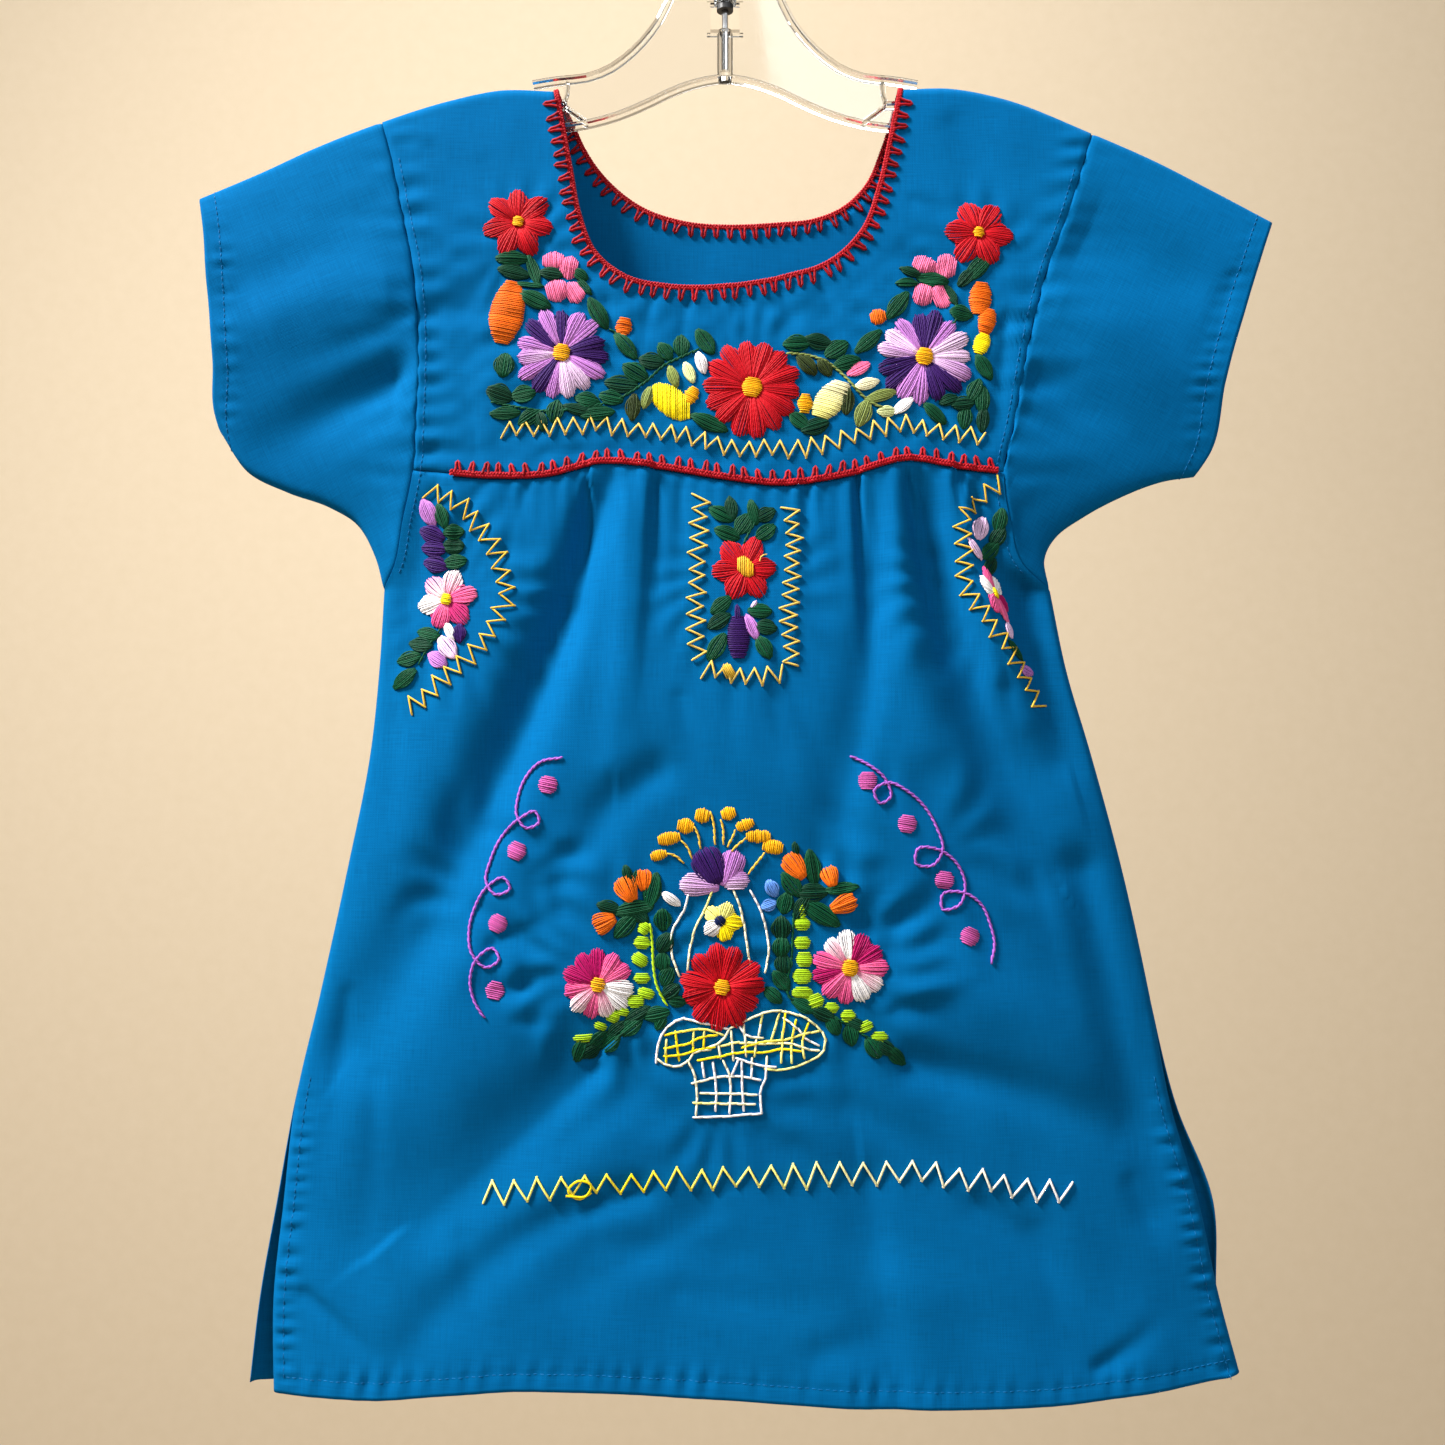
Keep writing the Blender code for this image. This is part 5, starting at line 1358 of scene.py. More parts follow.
# Leaves of the yoke: x, z, angle, length, width, colour
YOKE_LEAVES = [
    (-108, -231, -5, 17, 8, GREEN), (-107, -238, -12, 17, 8, DEEP_GREEN), (-97, -237, -66, 19, 6, GREEN),
    (-88, -239, -10, 13, 7, DEEP_GREEN), (-73, -240, -30, 9, 6, GREEN), (-71, -246, -50, 12, 4, GREEN),
    (-99, -245, -3, 16, 3, GREEN), (-96, -253, -30, 18, 9, GREEN), (-64, -260, -55, 19, 9, GREEN),
    (-50, -277, -52, 18, 8, GREEN), (-37, -285, -10, 13, 9, DEEP_GREEN), (-30, -280, -50, 11, 8, GREEN),
    (-22, -277, 90, 12, 9, GREEN), (-10, -275, -52, 16, 9, GREEN), (-45, -291, -30, 15, 10, GREEN),
    (-52, -297, -8, 17, 10, DEEP_GREEN), (-57, -304, -15, 13, 8, GREEN), (-111, -287, 80, 13, 11, GREEN),
    (-113, -302, -20, 14, 11, DEEP_GREEN), (-101, -302, 10, 13, 10, GREEN), (-110, -312, 5, 16, 7, GREEN),
    (-98, -314, 30, 13, 8, GREEN), (-92, -316, -68, 11, 7, DEEP_GREEN), (-85, -311, 80, 12, 9, GREEN),
    (-69, -305, -15, 13, 8, GREEN), (-74, -310, -10, 15, 6, DEEP_GREEN), (-64, -312, 8, 18, 8, GREEN),
    (-46, -309, 80, 14, 8, DARK_OLIVE), (-39, -304, 76, 12, 6, OLIVE), (-26, -293, -70, 12, 6, OLIVE),
    (-18, -291, -68, 12, 6, PALE_LIME), (-12, -286, -75, 12, 6, WHITE), (-8, -317, -26, 21, 8, GREEN),
    (36, -276, 5, 14, 9, GREEN), (47, -275, -12, 15, 9, DEEP_GREEN), (56, -279, 35, 14, 10, GREEN),
    (61, -286, 12, 15, 8, GREEN), (72, -275, 36, 18, 8, GREEN), (41, -287, -50, 14, 8, DARK_OLIVE),
    (50, -288, -58, 11, 7, DARK_OLIVE), (61, -306, 80, 14, 8, DARK_OLIVE), (69, -312, 68, 15, 9, OLIVE),
    (78, -303, 16, 17, 6, OLIVE), (71, -297, 16, 13, 6, CREAM), (67, -289, 28, 13, 7, PINK),
    (81, -311, 10, 10, 6, PALE_LIME), (89, -308, 38, 13, 6, WHITE), (37, -316, -40, 13, 8, GREEN),
    (45, -319, 20, 15, 9, DEEP_GREEN), (87, -256, 56, 18, 9, GREEN), (92, -244, 0, 12, 5, GREEN),
    (94, -238, -20, 12, 5, DEEP_GREEN), (105, -242, -10, 17, 8, GREEN), (114, -250, -62, 14, 5, DEEP_GREEN),
    (128, -236, 46, 20, 9, GREEN), (122, -241, 50, 12, 7, DEEP_GREEN), (119, -260, -10, 12, 9, GREEN),
    (130, -288, -64, 15, 8, GREEN), (125, -300, 60, 13, 8, GREEN), (119, -307, 5, 12, 8, DEEP_GREEN),
    (129, -305, 82, 15, 8, GREEN), (120, -314, 78, 12, 8, GREEN), (129, -315, 85, 13, 7, DEEP_GREEN),
    (105, -312, -45, 15, 7, GREEN), (112, -305, 20, 10, 6, DEEP_GREEN),
]
YOKE_FRUITS = [
    (-17, -303, 60, 9, 7, GOLD), (-51, -267, 80, 9, 8, ORANGE), (40, -307, 85, 10, 7, GOLD),
    (77, -262, 10, 8, 8, ORANGE), (129, -276, 70, 11, 8, YELLOW),
    (-87, -232, 0, 11, 9, PINK), (-79, -236, -10, 9, 12, PINK), (-85, -248, 15, 11, 12, PINK),
    (-76, -249, 30, 9, 12, PINK), (101, -234, -20, 12, 9, PINK), (112, -235, -10, 10, 13, PINK),
    (100, -250, -15, 10, 12, PINK), (109, -251, 25, 9, 13, PINK),
]
YOKE_ZIGZAG = [(-112, -320), (-90, -320), (-70, -318), (-40, -321), (-20, -323), (-2, -329), (20, -330),
               (48, -329), (60, -325), (72, -321), (92, -317), (105, -320), (118, -323), (130, -325)]


def embroider_yoke(tubes, material):
    """The flowers, leaves and zigzag of the front yoke."""
    work = Threads()
    stem(work, [(-117, -306), (-103, -309), (-86, -311), (-70, -309), (-52, -304), (-40, -296), (-30, -287),
                (-20, -282), (-13, -279)], GREEN, 0.55)
    stem(work, [(31, -281), (42, -282), (52, -286), (60, -293), (66, -300), (74, -307), (84, -311)],
         OLIVE, 0.55)
    stem(work, [(-58, -268), (-54, -271), (-50, -279)], GREEN)
    stem(work, [(116, -253), (117, -262), (113, -268)], GREEN)
    leaves(work, YOKE_LEAVES)
    flower(work, -105, -212, 18, 7, REDS, 92, hub=0.17)
    flower(work, 128.5, -218, 17.5, 6, REDS, 115, hub=0.17)
    flower(work, -82, -281, 23.5, 15, LEFT_PANSY, 90)
    flower(work, 100, -283, 24, 15, RIGHT_PANSY, 98)
    flower(work, 13.5, -299, 25, 14, REDS, 98, hub=0.22)
    blocks(work, YOKE_FRUITS)
    block(work, -110, -259, 80, 33, 18, ORANGE, ORANGE, dome=1.6, shape=0.75)
    block(work, 129, -252, 84, 17, 11, ORANGE, ORANGE, dome=1.4)
    block(work, 132, -264, 76, 14, 9, ORANGE, ORANGE, dome=1.3)
    block(work, -27, -306, 0, 19, 17, YELLOW, YELLOW, dome=1.6, slant=-0.45)
    block(work, 53, -305, 72, 21, 15, PALE_YELLOW, CREAM, dome=1.6, slant=-0.25)
    zigzag(work, YOKE_ZIGZAG, 3.9, 8.0, [STRAW, STRAW], 0.56)
    return work.finish("yoke_embroidery", cloth_depth, tubes, material, FLOSS_SIDES)


LEFT_ARC = [(-149, -351), (-141, -354), (-133, -358), (-126, -364), (-120, -372), (-115, -380), (-111, -388),
            (-109, -396), (-108, -404), (-110, -412), (-114, -420), (-119, -428), (-126, -434), (-133, -441),
            (-141, -448), (-149, -454), (-157, -460)]
RIGHT_ARC = [(138, -347), (131, -352), (124, -358), (118, -364), (117, -372), (118, -380), (119, -388),
             (119, -396), (121, -403), (126, -411), (132, -419), (138, -427), (145, -439), (151, -450),
             (157, -460)]
LEFT_SIDE_LEAVES = [
    (-148, -362, -66, 15, 9, LAVENDER), (-146, -373, -25, 14, 9, PURPLE), (-145, -380, -10, 13, 9, PURPLE),
    (-144, -388, -15, 13, 9, PURPLE), (-141, -364, -75, 14, 7, GREEN), (-135, -372, 0, 11, 8, GREEN),
    (-135, -379, -5, 11, 9, DEEP_GREEN), (-134, -387, 10, 12, 8, GREEN), (-147, -423, -20, 13, 7, GREEN),
    (-151, -428, -5, 13, 8, DEEP_GREEN), (-157, -435, 10, 13, 8, GREEN), (-159, -445, 35, 15, 8, GREEN),
    (-131, -423, 90, 10, 7, PURPLE), (-136, -422, -70, 10, 5, WHITE), (-137, -430, -55, 14, 9, PALE_LAVENDER),
    (-142, -436, -35, 12, 8, LAVENDER),
]
RIGHT_SIDE_LEAVES = [
    (127, -370, 70, 13, 9, PALE_LAVENDER), (137, -366, 75, 13, 8, GREEN), (136, -374, 60, 12, 8, DEEP_GREEN),
    (132, -381, 50, 13, 8, GREEN), (132, -389, 60, 11, 7, DEEP_GREEN), (124, -381, -56, 13, 4, PALE_LAVENDER),
    (141, -421, -70, 9, 4, PALE_LAVENDER), (144, -431, -56, 13, 4, GREEN), (150, -441, -20, 8, 6, LAVENDER),
]


def embroider_sides(tubes, material):
    """The half-round motifs beside the skirt's seams; a fold hides half of the right one's flower."""
    work = Threads()
    zigzag(work, LEFT_ARC, 4.3, 8.0, [HONEY, HONEY])
    zigzag(work, RIGHT_ARC, 4.0, 8.2, [HONEY, HONEY])
    stem(work, [(-141, -421), (-146, -428), (-152, -438)], GREEN)
    leaves(work, LEFT_SIDE_LEAVES + RIGHT_SIDE_LEAVES)
    flower(work, -138, -406, 15.5, 6, [(ROSE_PINK, WHITE), (ROSE_PINK, PINK), (MAGENTA, ROSE_PINK),
                                     (PINK, ROSE_PINK), SNOW, (WHITE, PINK)], 72, YELLOW, hub=0.19)
    work.squeeze = (134.0, -403.0, -64.0, 0.36)
    flower(work, 134, -403, 15, 6, [(PINK, ROSE_PINK), SNOW, ROSE, (ROSE_PINK, PINK)], 110, YELLOW, hub=0.19)
    return work.finish("side_embroidery", cloth_depth, tubes, material, FLOSS_SIDES)


CENTRE_LEAVES = [
    (-2, -364, -30, 14, 8, GREEN), (3, -361, 95, 13, 7, DEEP_GREEN), (1, -374, -18, 14, 8, GREEN),
    (9, -369, 60, 13, 9, GREEN), (14, -363, -80, 14, 6, GREEN), (20, -364, 25, 11, 8, DEEP_GREEN),
    (20, -373, 40, 12, 8, GREEN), (-2, -410, 40, 13, 8, GREEN), (-3, -418, 30, 13, 8, DEEP_GREEN),
    (-4, -431, 60, 16, 9, GREEN), (17, -413, 0, 12, 8, GREEN), (20, -421, -5, 11, 8, DEEP_GREEN),
    (19, -431, -60, 13, 8, GREEN), (6, -414, 95, 9, 3, PURPLE), (13, -421, -66, 14, 6, LAVENDER),
    (14, -410, 52, 5, 2, PALE_LAVENDER),
]


def embroider_centre(tubes, material):
    """The framed sprig in the middle of the skirt."""
    work = Threads()
    zigzag(work, [(-12, -354), (-13, -375), (-14, -395), (-14.5, -415), (-13, -437)], 4.2, 7.4,
           [STRAW, STRAW], 0.56)
    zigzag(work, [(32, -360), (34, -375), (33, -390), (32, -405), (31, -420), (32, -441)], 3.8, 6.6,
           [STRAW, STRAW], 0.56)
    zigzag(work, [(-11, -442), (2, -444), (15, -446), (29, -444)], 4.0, 7.2, [STRAW, STRAW], 0.56)
    block(work, 1.5, -443, 28, 5, 8, HONEY, HONEY, 0.4)
    stem(work, [(15, -368), (12, -373), (9, -379)], GREEN)
    leaves(work, CENTRE_LEAVES)
    flower(work, 9.5, -392, 16.5, 6, REDS, 65, None, hub=0.12)
    block(work, 10, -391, 0, 8, 10, HONEY, GOLD, 1.6, slant=-0.4)
    block(work, 6.5, -426, 90, 21, 11, PURPLE, PURPLE, dome=1.6)
    work.add([(17, -388, 1.6), (17.6, -386, 2.3), (19, -385, 2.4), (20.5, -384.6, 1.8)], 0.35, STRAW)
    return work.finish("centre_embroidery", cloth_depth, tubes, material, FLOSS_SIDES)


LEFT_VINE = [(-79, -485), (-90, -487), (-97, -494), (-101, -505), (-101, -513), (-96, -519), (-90, -516),
             (-92, -511), (-99, -514), (-108, -522), (-114, -534), (-116, -545), (-111, -551), (-104, -548),
             (-107, -543), (-115, -547), (-121, -556), (-124, -568), (-122, -580), (-115, -586),
             (-109, -582), (-112, -577), (-120, -582), (-123, -592), (-121, -602), (-116, -610)]
RIGHT_VINE = [(61, -484), (69, -488), (78, -496), (80, -504), (75, -507), (72, -501), (79, -497), (88, -501),
              (96, -508), (102, -518), (105, -530), (100, -537), (92, -536), (93, -529), (102, -529),
              (112, -536), (116, -546), (113, -556), (105, -558), (105, -551), (115, -550), (124, -556),
              (128, -565), (130, -575), (128, -584)]


def embroider_vines(tubes, material):
    """The two curling vines and the zigzag above the hem."""
    work = Threads()
    for path in (LEFT_VINE, RIGHT_VINE):
        stem(work, path, ORCHID, 0.55, 3.0)
    for x, z in ((-86, -498), (-101, -530), (-110, -565), (-111, -597), (69, -496), (88, -517), (106, -544),
                 (118, -571)):
        block(work, x, z, rng.uniform(60, 90), 8.5, 9.0, MALLOW, MALLOW, dome=1.0)
    path = [(-117, -694), (-79, -690), (-45, -688), (-12, -686), (25, -685), (60, -684), (93, -683),
            (122, -687), (166, -694)]
    zigzag(work, path, 5.0, 11.2, [PALE_YELLOW, YELLOW, PALE_YELLOW, CREAM, WHITE], 0.60)
    knot = spread([(-64, -693), (-70, -696), (-75, -692), (-70, -687), (-64, -689), (-66, -694),
                   (-76, -694)], 22)
    height = np.linspace(0.7, 1.9, len(knot))
    work.add(raised(knot, height), 0.6, YELLOW)
    return work.finish("vine_embroidery", cloth_depth, tubes, material, FLOSS_SIDES)


# Buds over the basket: x, z, angle, length, width, and the stem's two ends
BUDS = [
    (-32, -532, 15, 8, 5, (-28, -531), (-20, -536)), (-27, -524, 10, 11, 6, (-21, -525), (-16, -534)),
    (-19, -518, -10, 8, 7, (-15, -518), (-12, -529)), (-11, -513, -10, 7, 7, (-7, -511), (-5, -527)),
    (1.5, -512, 15, 7, 6, (-2, -515), (-1, -527)), (9.5, -517.5, 20, 9, 5, (5, -520), (1, -528)),
    (16, -523, 0, 12, 6, (10, -524), (3, -530)), (23, -528, -10, 10, 7, (19, -531), (11, -541)),
]
BASKET_GREENS = [
    (-35, -549, 78, 18, 9, GREEN), (-47, -541, 105, 9, 5, DEEP_GREEN), (-44, -545, 70, 12, 6, DEEP_GREEN),
    (-44, -558, 5, 20, 9, GREEN), (-56, -557, -10, 12, 7, DEEP_GREEN), (-48, -566, 50, 15, 9, GREEN),
    (-42, -560, -40, 13, 8, DEEP_GREEN), (-30, -563, 90, 11, 9, GREEN), (-29, -574, 60, 11, 9, DEEP_GREEN),
    (-30, -583, 100, 10, 8, GREEN), (-28, -590, 60, 10, 8, GREEN), (-26, -597, 40, 10, 8, DEEP_GREEN),
    (-23, -602, 0, 9, 6, GREEN), (-33, -608, 15, 13, 8, GREEN), (-42, -608, 30, 14, 7, DEEP_GREEN),
    (-45, -614, 40, 13, 8, GREEN), (-52, -616, 35, 13, 8, DEEP_GREEN), (-55, -622, 45, 12, 8, GREEN),
    (-61, -621, 40, 12, 8, GREEN), (-65, -626, 35, 12, 8, DEEP_GREEN), (-70, -626, 70, 12, 8, GREEN),
    (-31, -612, 60, 8, 6, GREEN), (42, -538, 98, 18, 9, GREEN), (34, -529, 100, 7, 4, DEEP_GREEN),
    (32, -546, -48, 15, 9, GREEN), (42, -550, 0, 15, 10, DEEP_GREEN), (56, -548, 4, 17, 6, GREEN),
    (46, -560, -36, 22, 10, GREEN), (37, -557, 60, 13, 8, DEEP_GREEN), (29, -555, 80, 11, 9, GREEN),
    (27, -567, 90, 12, 10, DEEP_GREEN), (27, -576, 90, 11, 9, GREEN), (28, -584, 90, 10, 9, DEEP_GREEN),
    (27, -592, -50, 12, 8, GREEN), (23, -599, -40, 11, 7, GREEN), (38, -604, -24, 14, 7, GREEN),
    (47, -608, -22, 13, 7, DEEP_GREEN), (52, -613, -62, 11, 8, GREEN), (60, -618, -80, 11, 8, GREEN),
    (63, -613, -20, 12, 6, DEEP_GREEN), (71, -624, -58, 12, 8, GREEN), (77, -624, -38, 12, 7, DEEP_GREEN),
    (82, -628, -42, 13, 7, GREEN),
]
BASKET_LIMES = [
    (-39, -567, 60, 6, 6, LIME), (-40, -574, 85, 6, 8, LIME), (-41, -582, 60, 6, 8, LIME),
    (-40, -591, 90, 5, 8, LIME), (-38, -598, 75, 5, 8, LIME), (-43, -602, 90, 6, 8, LIME),
    (-49, -607, 80, 4, 6, LIME), (-54, -609, 70, 6, 7, LIME), (-60, -614, 70, 4, 6, LIME),
    (-68, -620, 95, 4, 11, LIME), (37, -559, 90, 8, 4, LIME), (37, -565, 90, 6, 8, LIME),
    (37, -574, 90, 6, 8, LIME), (38, -582, 90, 7, 8, LIME), (37, -590, 90, 7, 9, LIME),
    (37, -598, 90, 6, 10, LIME), (43, -602, 110, 7, 9, LIME), (51, -605, 90, 5, 7, LIME),
    (59, -609, 90, 6, 7, LIME), (67, -614, 110, 5, 8, LIME), (74, -619, 90, 5, 8, LIME),
]
# Tulip heads: foot x, z, angle, length, width
TULIPS = [(-44, -554, 118, 13, 12), (-39, -549, 95, 10, 9), (-53, -562, 205, 11, 11), (38, -543, 128, 14, 11),
          (52, -547, 108, 10, 9), (51, -558, 22, 13, 10)]
BASKET_HANDLES = [
    ([(-18, -551), (-20, -559), (-25, -567), (-25.5, -580), (-22, -590)], WHITE),
    ([(-6, -548), (-9, -556), (-14, -566), (-17, -577), (-18, -587)], PALE_YELLOW),
    ([(4, -549), (8, -560), (10, -572), (12, -585)], CREAM),
    ([(12, -549), (17, -558), (20, -570), (21, -578), (19, -588)], WHITE),
]
# Backstitched lines of the basket, each with its colours at the start and the end
BASKET_LINES = [
    ([(-33, -631), (-32, -622), (-28, -614), (-20, -610), (-12, -612), (-4, -613.5), (2, -615)],
     WHITE, WHITE),
    ([(2, -615), (0, -619), (-3, -622), (-8, -624)], CREAM, CREAM),
    ([(-33, -629), (-29, -632), (-22, -632.5), (-18, -631), (-17, -628), (-12, -625.5), (-7, -625)],
     CREAM, CREAM),
    ([(2, -615), (10, -611), (18, -607.5), (26, -606.5), (34, -608), (42, -612), (48, -620), (47, -626),
      (40, -630.5), (32, -633.5), (24, -634.5), (19, -634)], CREAM, PALE_YELLOW),
    ([(-29, -618), (-18, -615.5), (-10, -615), (-1, -618)], YELLOW, PALE_YELLOW),
    ([(-29, -624), (-18, -622), (-10, -618.5), (-4, -618)], YELLOW, YELLOW),
    ([(-29, -628), (-20, -627), (-12, -624.5), (-5, -623.5)], YELLOW, YELLOW),
    ([(-13, -630), (-2, -628), (8, -626), (20, -626), (28, -624.5), (36, -625.5)], YELLOW, YELLOW),
    ([(-2, -623), (6, -621.5), (18, -622), (34, -622.5), (40, -625), (45, -625.5)], PALE_YELLOW, CREAM),
    ([(8, -624), (18, -621), (30, -620), (36, -618), (45, -616)], YELLOW, PALE_YELLOW),
    ([(7, -614), (10, -618), (18, -619.5)], WHITE, CREAM),
    ([(28, -610), (34, -614), (38, -619), (45, -623)], CREAM, WHITE),
    ([(5, -629), (12, -631), (18, -632.5), (24, -633)], WHITE, WHITE),
    ([(-28, -620), (-28.5, -631)], PALE_YELLOW, YELLOW), ([(-24, -616), (-22, -630)], YELLOW, YELLOW),
    ([(-15, -616), (-15.5, -627)], PALE_YELLOW, YELLOW), ([(-10, -615), (-10.5, -624)], PALE_YELLOW, YELLOW),
    ([(-3, -623), (-2, -629)], CREAM, CREAM), ([(3, -616), (4, -630)], CREAM, CREAM),
    ([(9, -613), (10, -628)], CREAM, CREAM), ([(15, -620), (14, -628)], CREAM, PALE_YELLOW),
    ([(18, -607.5), (16, -618)], PALE_YELLOW, CREAM), ([(26, -608), (22, -620)], PALE_YELLOW, PALE_YELLOW),
    ([(29, -607), (27.5, -619), (27, -631)], YELLOW, PALE_YELLOW),
    ([(34, -611), (32, -619), (32, -631)], YELLOW, PALE_YELLOW),
    ([(40, -612), (37, -621), (38, -629)], YELLOW, PALE_YELLOW), ([(20, -628), (19.5, -638)], CREAM, WHITE),
    ([(-18, -630), (-15, -636), (-13.5, -645), (-14, -656)], CREAM, CREAM),
    ([(19.5, -638), (17, -644), (17.5, -655)], WHITE, WHITE),
    ([(-15, -657), (0, -656.5), (17, -655)], WHITE, WHITE),
    ([(-16, -641), (-6, -638.5), (8, -637.5), (17, -639)], CREAM, WHITE),
    ([(-12, -645.5), (15, -646)], CREAM, CREAM),
    ([(-15, -650), (0, -650.5), (14, -650.5)], PALE_YELLOW, CREAM),
    ([(-11, -631), (-10, -638)], WHITE, WHITE), ([(-6, -631), (-4.5, -642), (-4.5, -654)], WHITE, WHITE),
    ([(-1, -630), (2, -637), (2, -655)], CREAM, WHITE), ([(6, -630), (3, -637)], WHITE, WHITE),
    ([(8, -630), (8, -640), (9, -654)], WHITE, WHITE), ([(13, -629), (12.5, -638)], CREAM, WHITE),
]


def embroider_basket(tubes, material):
    """The flower basket in the skirt's middle."""
    work = Threads()
    for x, z, angle, length, width, top, foot in BUDS:
        bend = ((top[0] + foot[0]) / 2 + 0.6, (top[1] + foot[1]) / 2 + 0.8)
        stem(work, [top, bend, foot], HONEY, 0.45, 2.8)
        block(work, x, z, angle, length, width, GOLD, GOLD, dome=1.0)
    for path, color in BASKET_HANDLES:
        backstitch(work, path, color, CREAM, 4.0, 0.56)
    leaves(work, BASKET_GREENS)
    stem(work, [(-36, -565), (-35, -575), (-34.5, -585), (-33, -594), (-28, -604)], LIME, 0.55)
    stem(work, [(33, -560), (32, -580), (31, -600), (40, -606), (55, -611), (70, -620), (84, -628)], GREEN)
    blocks(work, BASKET_LIMES)
    for x, z, angle, length, width in TULIPS:
        petal(work, x, z, angle, 0.0, length, width, ORANGE, ORANGE, 1.4, 0.4)
    petal(work, -3, -547, 176, 0.0, 19, 11, LAVENDER, PALE_LAVENDER, 1.3)
    petal(work, 0, -547, 72, 0.0, 18, 12, LAVENDER, LAVENDER, 1.4)
    petal(work, -3, -546, 118, 0.0, 19, 16, PURPLE, PURPLE, 1.6, 0.3, 0.5)
    block(work, 5, -544, 92, 9, 13, PALE_LAVENDER, LAVENDER, 0.3)
    leaf(work, -26, -553, -35, 11, 5, WHITE)
    leaf(work, 22.5, -548, -62, 9, 7, PALE_BLUE)
    leaf(work, 21, -556, 20, 8, 6, PALE_BLUE)
    flower(work, -1.5, -564, 10, 5, [(PALE_YELLOW, PALE_YELLOW), (YELLOW, YELLOW), (YELLOW, YELLOW), SNOW,
                                   (PALE_YELLOW, PALE_YELLOW)], 70, None, hub=0.1)
    block(work, -2.5, -563.5, 40, 5, 5, NAVY, NAVY, 1.2, 0.8)
    flower(work, -61, -594, 17, 11, LEFT_ASTER, 92, lift=0.3, hub=0.22)
    flower(work, 60, -586, 18, 11, RIGHT_ASTER, 98, lift=0.3, hub=0.24)
    flower(work, -1.5, -595, 20, 11, REDS, 100, lift=0.4, hub=0.2)
    for path, first, last in BASKET_LINES:
        backstitch(work, path, first, last, 4.4, 0.58)
    return work.finish("basket_embroidery", cloth_depth, tubes, material, FLOSS_SIDES)


# Crochet: the plait's step and pitch; a hairpin's points across and down, their heights, its radius
PLAIT_STEP = 0.55
PLAIT_PITCH = 4.6
PICOT = np.array([(-1.7, -0.6), (-1.25, 0.8), (-0.85, 3.0), (-0.8, 5.0), (0.0, 6.2), (0.8, 5.0), (0.85, 3.0),
                  (1.25, 0.8), (1.7, -0.6)])
PICOT_HEIGHT = np.array([1.1, 1.0, 0.9, 0.75, 0.4, 0.75, 0.9, 1.0, 1.1])
PICOT_RADIUS = 0.70


def on_cloth(x, z, height, front=True, inside=False):
    """A point over the body's cloth, on the front or the back, outside or inside."""
    depth = cloth_depth(x, z, front)
    offset = depth - CLOTH - height if inside else depth + height
    return np.stack([x, -offset if front else offset, z], axis=-1)


def plait(threads, path, wide, half_wide, half_thick, radius):
    """A three-strand plait along a path of points in space; wide is its flat side's direction."""
    path = np.asarray(path, float)
    along = unit(np.gradient(path, axis=0))
    wide = unit(wide - along * np.sum(wide * along, axis=1, keepdims=True))
    thick = np.cross(along, wide)
    reach = reach_along(path)
    for k in range(3):
        turn = reach / PLAIT_PITCH * 2 * math.pi + k * 2 * math.pi / 3
        strand = (path + wide * (half_wide * np.sin(turn))[:, None]
                  + thick * (half_thick * np.sin(2 * turn))[:, None])
        threads.add(strand, radius, YARN_CHERRY)


def even_path(points, step):
    """Points in space about one step apart along a path."""
    length = length_of(points)
    return read_path(np.linspace(0.0, length, int(length / step) + 1), reach_along(points), points)


def picots(threads, line, inward, spacing, length, front=True, inside=False):
    """Hairpin stitches from the chain onto the cloth, along a line in x and z."""
    reach = reach_along(line)
    count = int(reach[-1] / spacing)
    for k in range(count):
        at = (k + 0.5) / count * reach[-1] + rng.uniform(-0.5, 0.5)
        base = read_path(at, reach, line)
        down = unit(read_path(at, reach, inward))
        lean = rng.uniform(-0.22, 0.22)
        down = unit(down + lean * np.array([-down[1], down[0]]))
        side = np.array([-down[1], down[0]])
        size = length / 6.3 * rng.uniform(0.9, 1.08)
        flat = base + PICOT[:, :1] * side * rng.uniform(0.85, 1.1) + PICOT[:, 1:] * down * size
        laid = on_cloth(flat[:, 0], flat[:, 1], PICOT_HEIGHT, front, inside)
        threads.add(laid, PICOT_RADIUS, YARN_RED * tone())


def crochet_neck(tubes, material):
    """The crochet round the neck: a plaited chain on the edge and hairpins on both sides."""
    work = Threads()
    rings = []
    for front in (True, False):
        line = neck_at(np.linspace(0.0, 1.0, 301), front)
        out = left_of(unit(np.gradient(line, axis=0)))
        edge = on_cloth(line[:, 0], line[:, 1], -CLOTH / 2, front)
        edge[:, 0] += out[:, 0] * 1.2
        edge[:, 2] += out[:, 1] * 1.2
        rings.append((edge, out))
        line, down = line[6:-6], -out[6:-6]
        picots(work, line, down, spacing=6.7, length=6.0, front=front)
        if not front:
            picots(work, line, down, spacing=6.7, length=5.6, front=front, inside=True)
    (front_edge, front_out), (back_edge, back_out) = rings
    ring = np.concatenate([front_edge, back_edge[::-1], front_edge[:3]])
    out = np.concatenate([front_out, back_out[::-1], front_out[:3]])
    wide = np.stack([out[:, 0], np.zeros(len(out)), out[:, 1]], axis=1)
    path = even_path(ring, PLAIT_STEP)
    reach = reach_along(ring)
    wide = read_path(np.linspace(0.0, reach[-1], len(path)), reach, wide)
    plait(work, path, wide, half_wide=0.85, half_thick=0.50, radius=0.72)
    return work.finish("neck_crochet", None, tubes, material, YARN_SIDES)


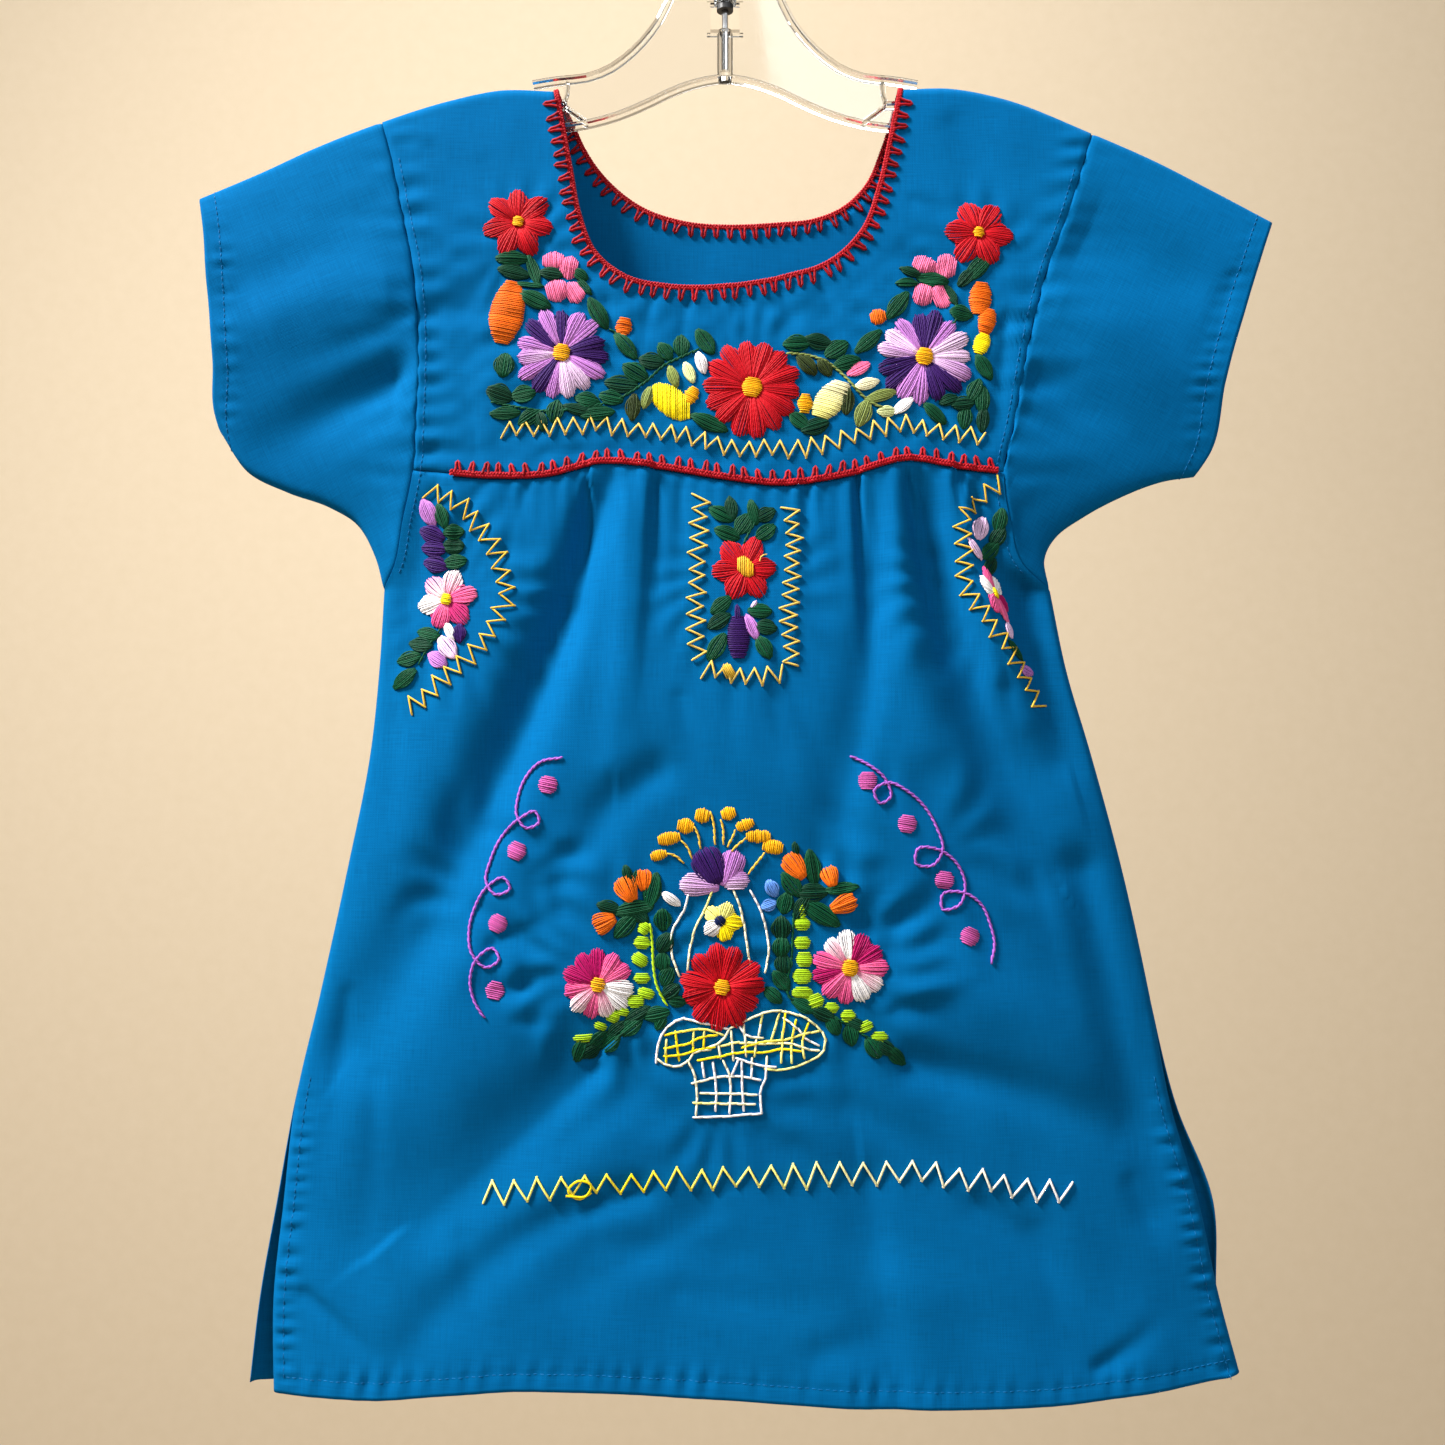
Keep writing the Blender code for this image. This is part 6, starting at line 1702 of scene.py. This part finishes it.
def crochet_yoke(tubes, material):
    """The crochet on the front yoke seam, with its hairpins up on the yoke."""
    work = Threads()
    x = np.linspace(-137.0, 136.0, 500)
    line = np.stack([x, seam_z(x, True) + 0.4], axis=1)
    stand = np.maximum(yoke_depth(x, line[:, 1] + 3.0, True), skirt_depth(x, line[:, 1] - 3.0, True)) + 0.5
    path = even_path(np.stack([x, -stand, line[:, 1]], axis=1), PLAIT_STEP)
    wide = np.tile([0.0, 0.0, 1.0], (len(path), 1))
    plait(work, path, wide, half_wide=1.05, half_thick=0.45, radius=0.74)
    up = np.tile([0.0, 1.0], (len(line), 1))
    picots(work, line + np.array([0.0, 0.8]), up, spacing=6.9, length=5.6)
    return work.finish("yoke_crochet", None, tubes, material, YARN_SIDES)


def sew(threads, path, outward, pitch=3.3, length=2.3):
    """A row of small running stitches on the cloth along a path in space."""
    reach = reach_along(path)
    s = np.array([0.0, 0.15, 0.5, 0.85, 1.0])
    height = np.array([-0.25, 0.10, 0.16, 0.10, -0.25])
    for k in range(int(reach[-1] / pitch)):
        at = k * pitch + s * length + rng.uniform(-0.15, 0.15)
        point, away = read_path(at, reach, path), read_path(at, reach, outward)
        threads.add(point + away * height[:, None], SEAM_THREAD_RADIUS, CLOTH_BLUE)


def body_path(x, z, front):
    """A path on the body's cloth, and the direction away from it."""
    path = on_cloth(x, z, 0.0, front)
    return path, np.tile([0.0, -1.0 if front else 1.0, 0.0], (len(x), 1))


def sew_seams(tubes, material, cuffs):
    """Machine stitches of the hems, slits, armholes and cuffs."""
    work = Threads()
    for front in (True, False):
        left_x, right_x = hem_ends(front)
        x = np.linspace(left_x + 7, right_x - 7, 240)
        sew(work, *body_path(x, hem_line(x, front) + HEM_STITCH, front))
        z = np.linspace(SLIT_STITCH_TOP_Z, HEM_CORNERS[front][0] + 4, 70)
        for side, inward in ((0, 1.0), (1, -1.0)):
            sew(work, *body_path(edge_x(z, front, side) + inward * SLIT_STITCH, z, front))
            arm_x, arm_z = armhole_point(np.linspace(0.09, 0.97, 120), side)
            sew(work, *body_path(arm_x + inward * ARMHOLE_STITCH, arm_z, front))
    for path, outward in cuffs:
        sew(work, path, outward)
    return work.finish("seam_stitches", None, tubes, material, FLOSS_SIDES)


# The photograph's view: sensor in mm, sizes in pixels, place in metres, tilt up in degrees
SENSOR = 36.0
PICTURE_PIXELS = 1445.0
FOCAL_PIXELS = 1500.0
CAMERA_PLACE = (-0.0013, -0.750, -0.525)
CAMERA_TILT = 4.5


def make_camera():
    """The photograph's view: slightly below the middle, looking a little up."""
    camera = bpy.data.cameras.new("camera")
    camera.sensor_width = SENSOR
    camera.lens = SENSOR * FOCAL_PIXELS / PICTURE_PIXELS
    view = bpy.data.objects.new("camera", camera)
    view.location = CAMERA_PLACE
    view.rotation_euler = (math.radians(90.0 + CAMERA_TILT), 0.0, 0.0)
    bpy.context.scene.collection.objects.link(view)
    bpy.context.scene.camera = view


def area_light(name, place, target, size, power, color=(1.0, 1.0, 1.0)):
    """A soft square light aimed at a point. Places and sizes are in metres."""
    lamp = bpy.data.lights.new(name, "AREA")
    lamp.size = size
    lamp.energy = power
    lamp.color = color
    light = bpy.data.objects.new(name, lamp)
    light.location = place
    direction = Vector(target) - Vector(place)
    light.rotation_euler = direction.to_track_quat("-Z", "Y").to_euler()
    bpy.context.scene.collection.objects.link(light)


def make_stage():
    """A plain warm backdrop and soft studio light."""
    bpy.context.scene.view_settings.view_transform = "Standard"
    world = bpy.data.worlds.new("studio")
    world.use_nodes = True
    set_values(world.node_tree.nodes["Background"], {"Color": (0.80, 0.80, 0.79, 1.0), "Strength": 0.34})
    bpy.context.scene.world = world
    material, tree, shader, place = new_material("warm_backdrop")
    grain = noise_node(tree, place, 30.0, 4.0)
    tan = two_tones(tree, grain, (0.50, 0.41, 0.29), (0.54, 0.45, 0.33))
    tree.links.new(tan, shader.inputs["Base Color"])
    set_values(shader, {"Roughness": 0.9})
    side, level, back, top = 12000.0, -2700.0, 3000.0, 6000.0
    floor = [(-side, -side, level), (side, -side, level), (side, side, level), (-side, side, level)]
    wall = [(-side, back, level), (side, back, level), (side, back, top), (-side, back, top)]
    for name, corners in (("floor", floor), ("backdrop", wall)):
        body_of(name, corners, [[0, 1, 2, 3]], material, smooth_shade=False)
    area_light("key", (-2.05, -0.98, 2.05), (0.0, 0.0, -0.45), 0.80, 355.0, (1.0, 0.98, 0.95))
    area_light("fill", (0.7, -1.7, 0.5), (0.0, 0.0, -0.5), 1.2, 15.0, (0.92, 0.96, 1.0))
    area_light("back", (0.5, 1.1, 1.7), (0.0, 0.0, -0.45), 0.8, 30.0)
    area_light("backdrop_wash", (0.0, 0.9, 2.6), (0.0, 3.0, -0.6), 2.2, 58.0)


def main():
    """Dress the frame."""
    cotton = cloth_material(plain_weave_group())
    panels = {
        "front_skirt": skirt_shell("front_skirt_cloth", True, cotton, columns=215, side_rows=185),
        "back_skirt": skirt_shell("back_skirt_cloth", False, cotton, columns=130, side_rows=110),
        "front_yoke": yoke_shell("front_yoke_cloth", True, cotton, arm_columns=70, seam_columns=150, rows=62),
        "back_yoke": yoke_shell("back_yoke_cloth", False, cotton, arm_columns=50, seam_columns=100, rows=36),
    }
    cuffs = {}
    for side, node in enumerate(("left_sleeve", "right_sleeve")):
        panels[node], cuffs[node] = sleeve_shell(node + "_cloth", side, cotton, arm_columns=96, rows=62)
    for node, piece in panels.items():
        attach(piece, "root")
        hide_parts(node)
    tubes, twisted = tube_tree(), twisted_thread_group()
    floss = thread_material("cotton_floss", twisted, twist=2.4, ply=0.35, fibre=0.5, distance=0.00016)
    for embroider in (embroider_yoke, embroider_sides, embroider_centre, embroider_vines, embroider_basket):
        piece = embroider(tubes, floss)
        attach(piece, "root")
    cotton_yarn = thread_material("crochet_cotton", twisted, twist=2.0, ply=0.45, fibre=0.6, distance=0.0002)
    for crochet, node in ((crochet_neck, "neck_edging"), (crochet_yoke, "yoke_edging")):
        piece = crochet(tubes, cotton_yarn)
        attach(piece, "root")
        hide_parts(node)
    seams = sew_seams(tubes, floss, cuffs.values())
    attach(seams, "root")
    dress_nodes({"hanger_frame": clear_material(), "hanger_hook": steel_material(),
                 "hook_washer": washer_material()})
    make_camera()
    make_stage()


main()
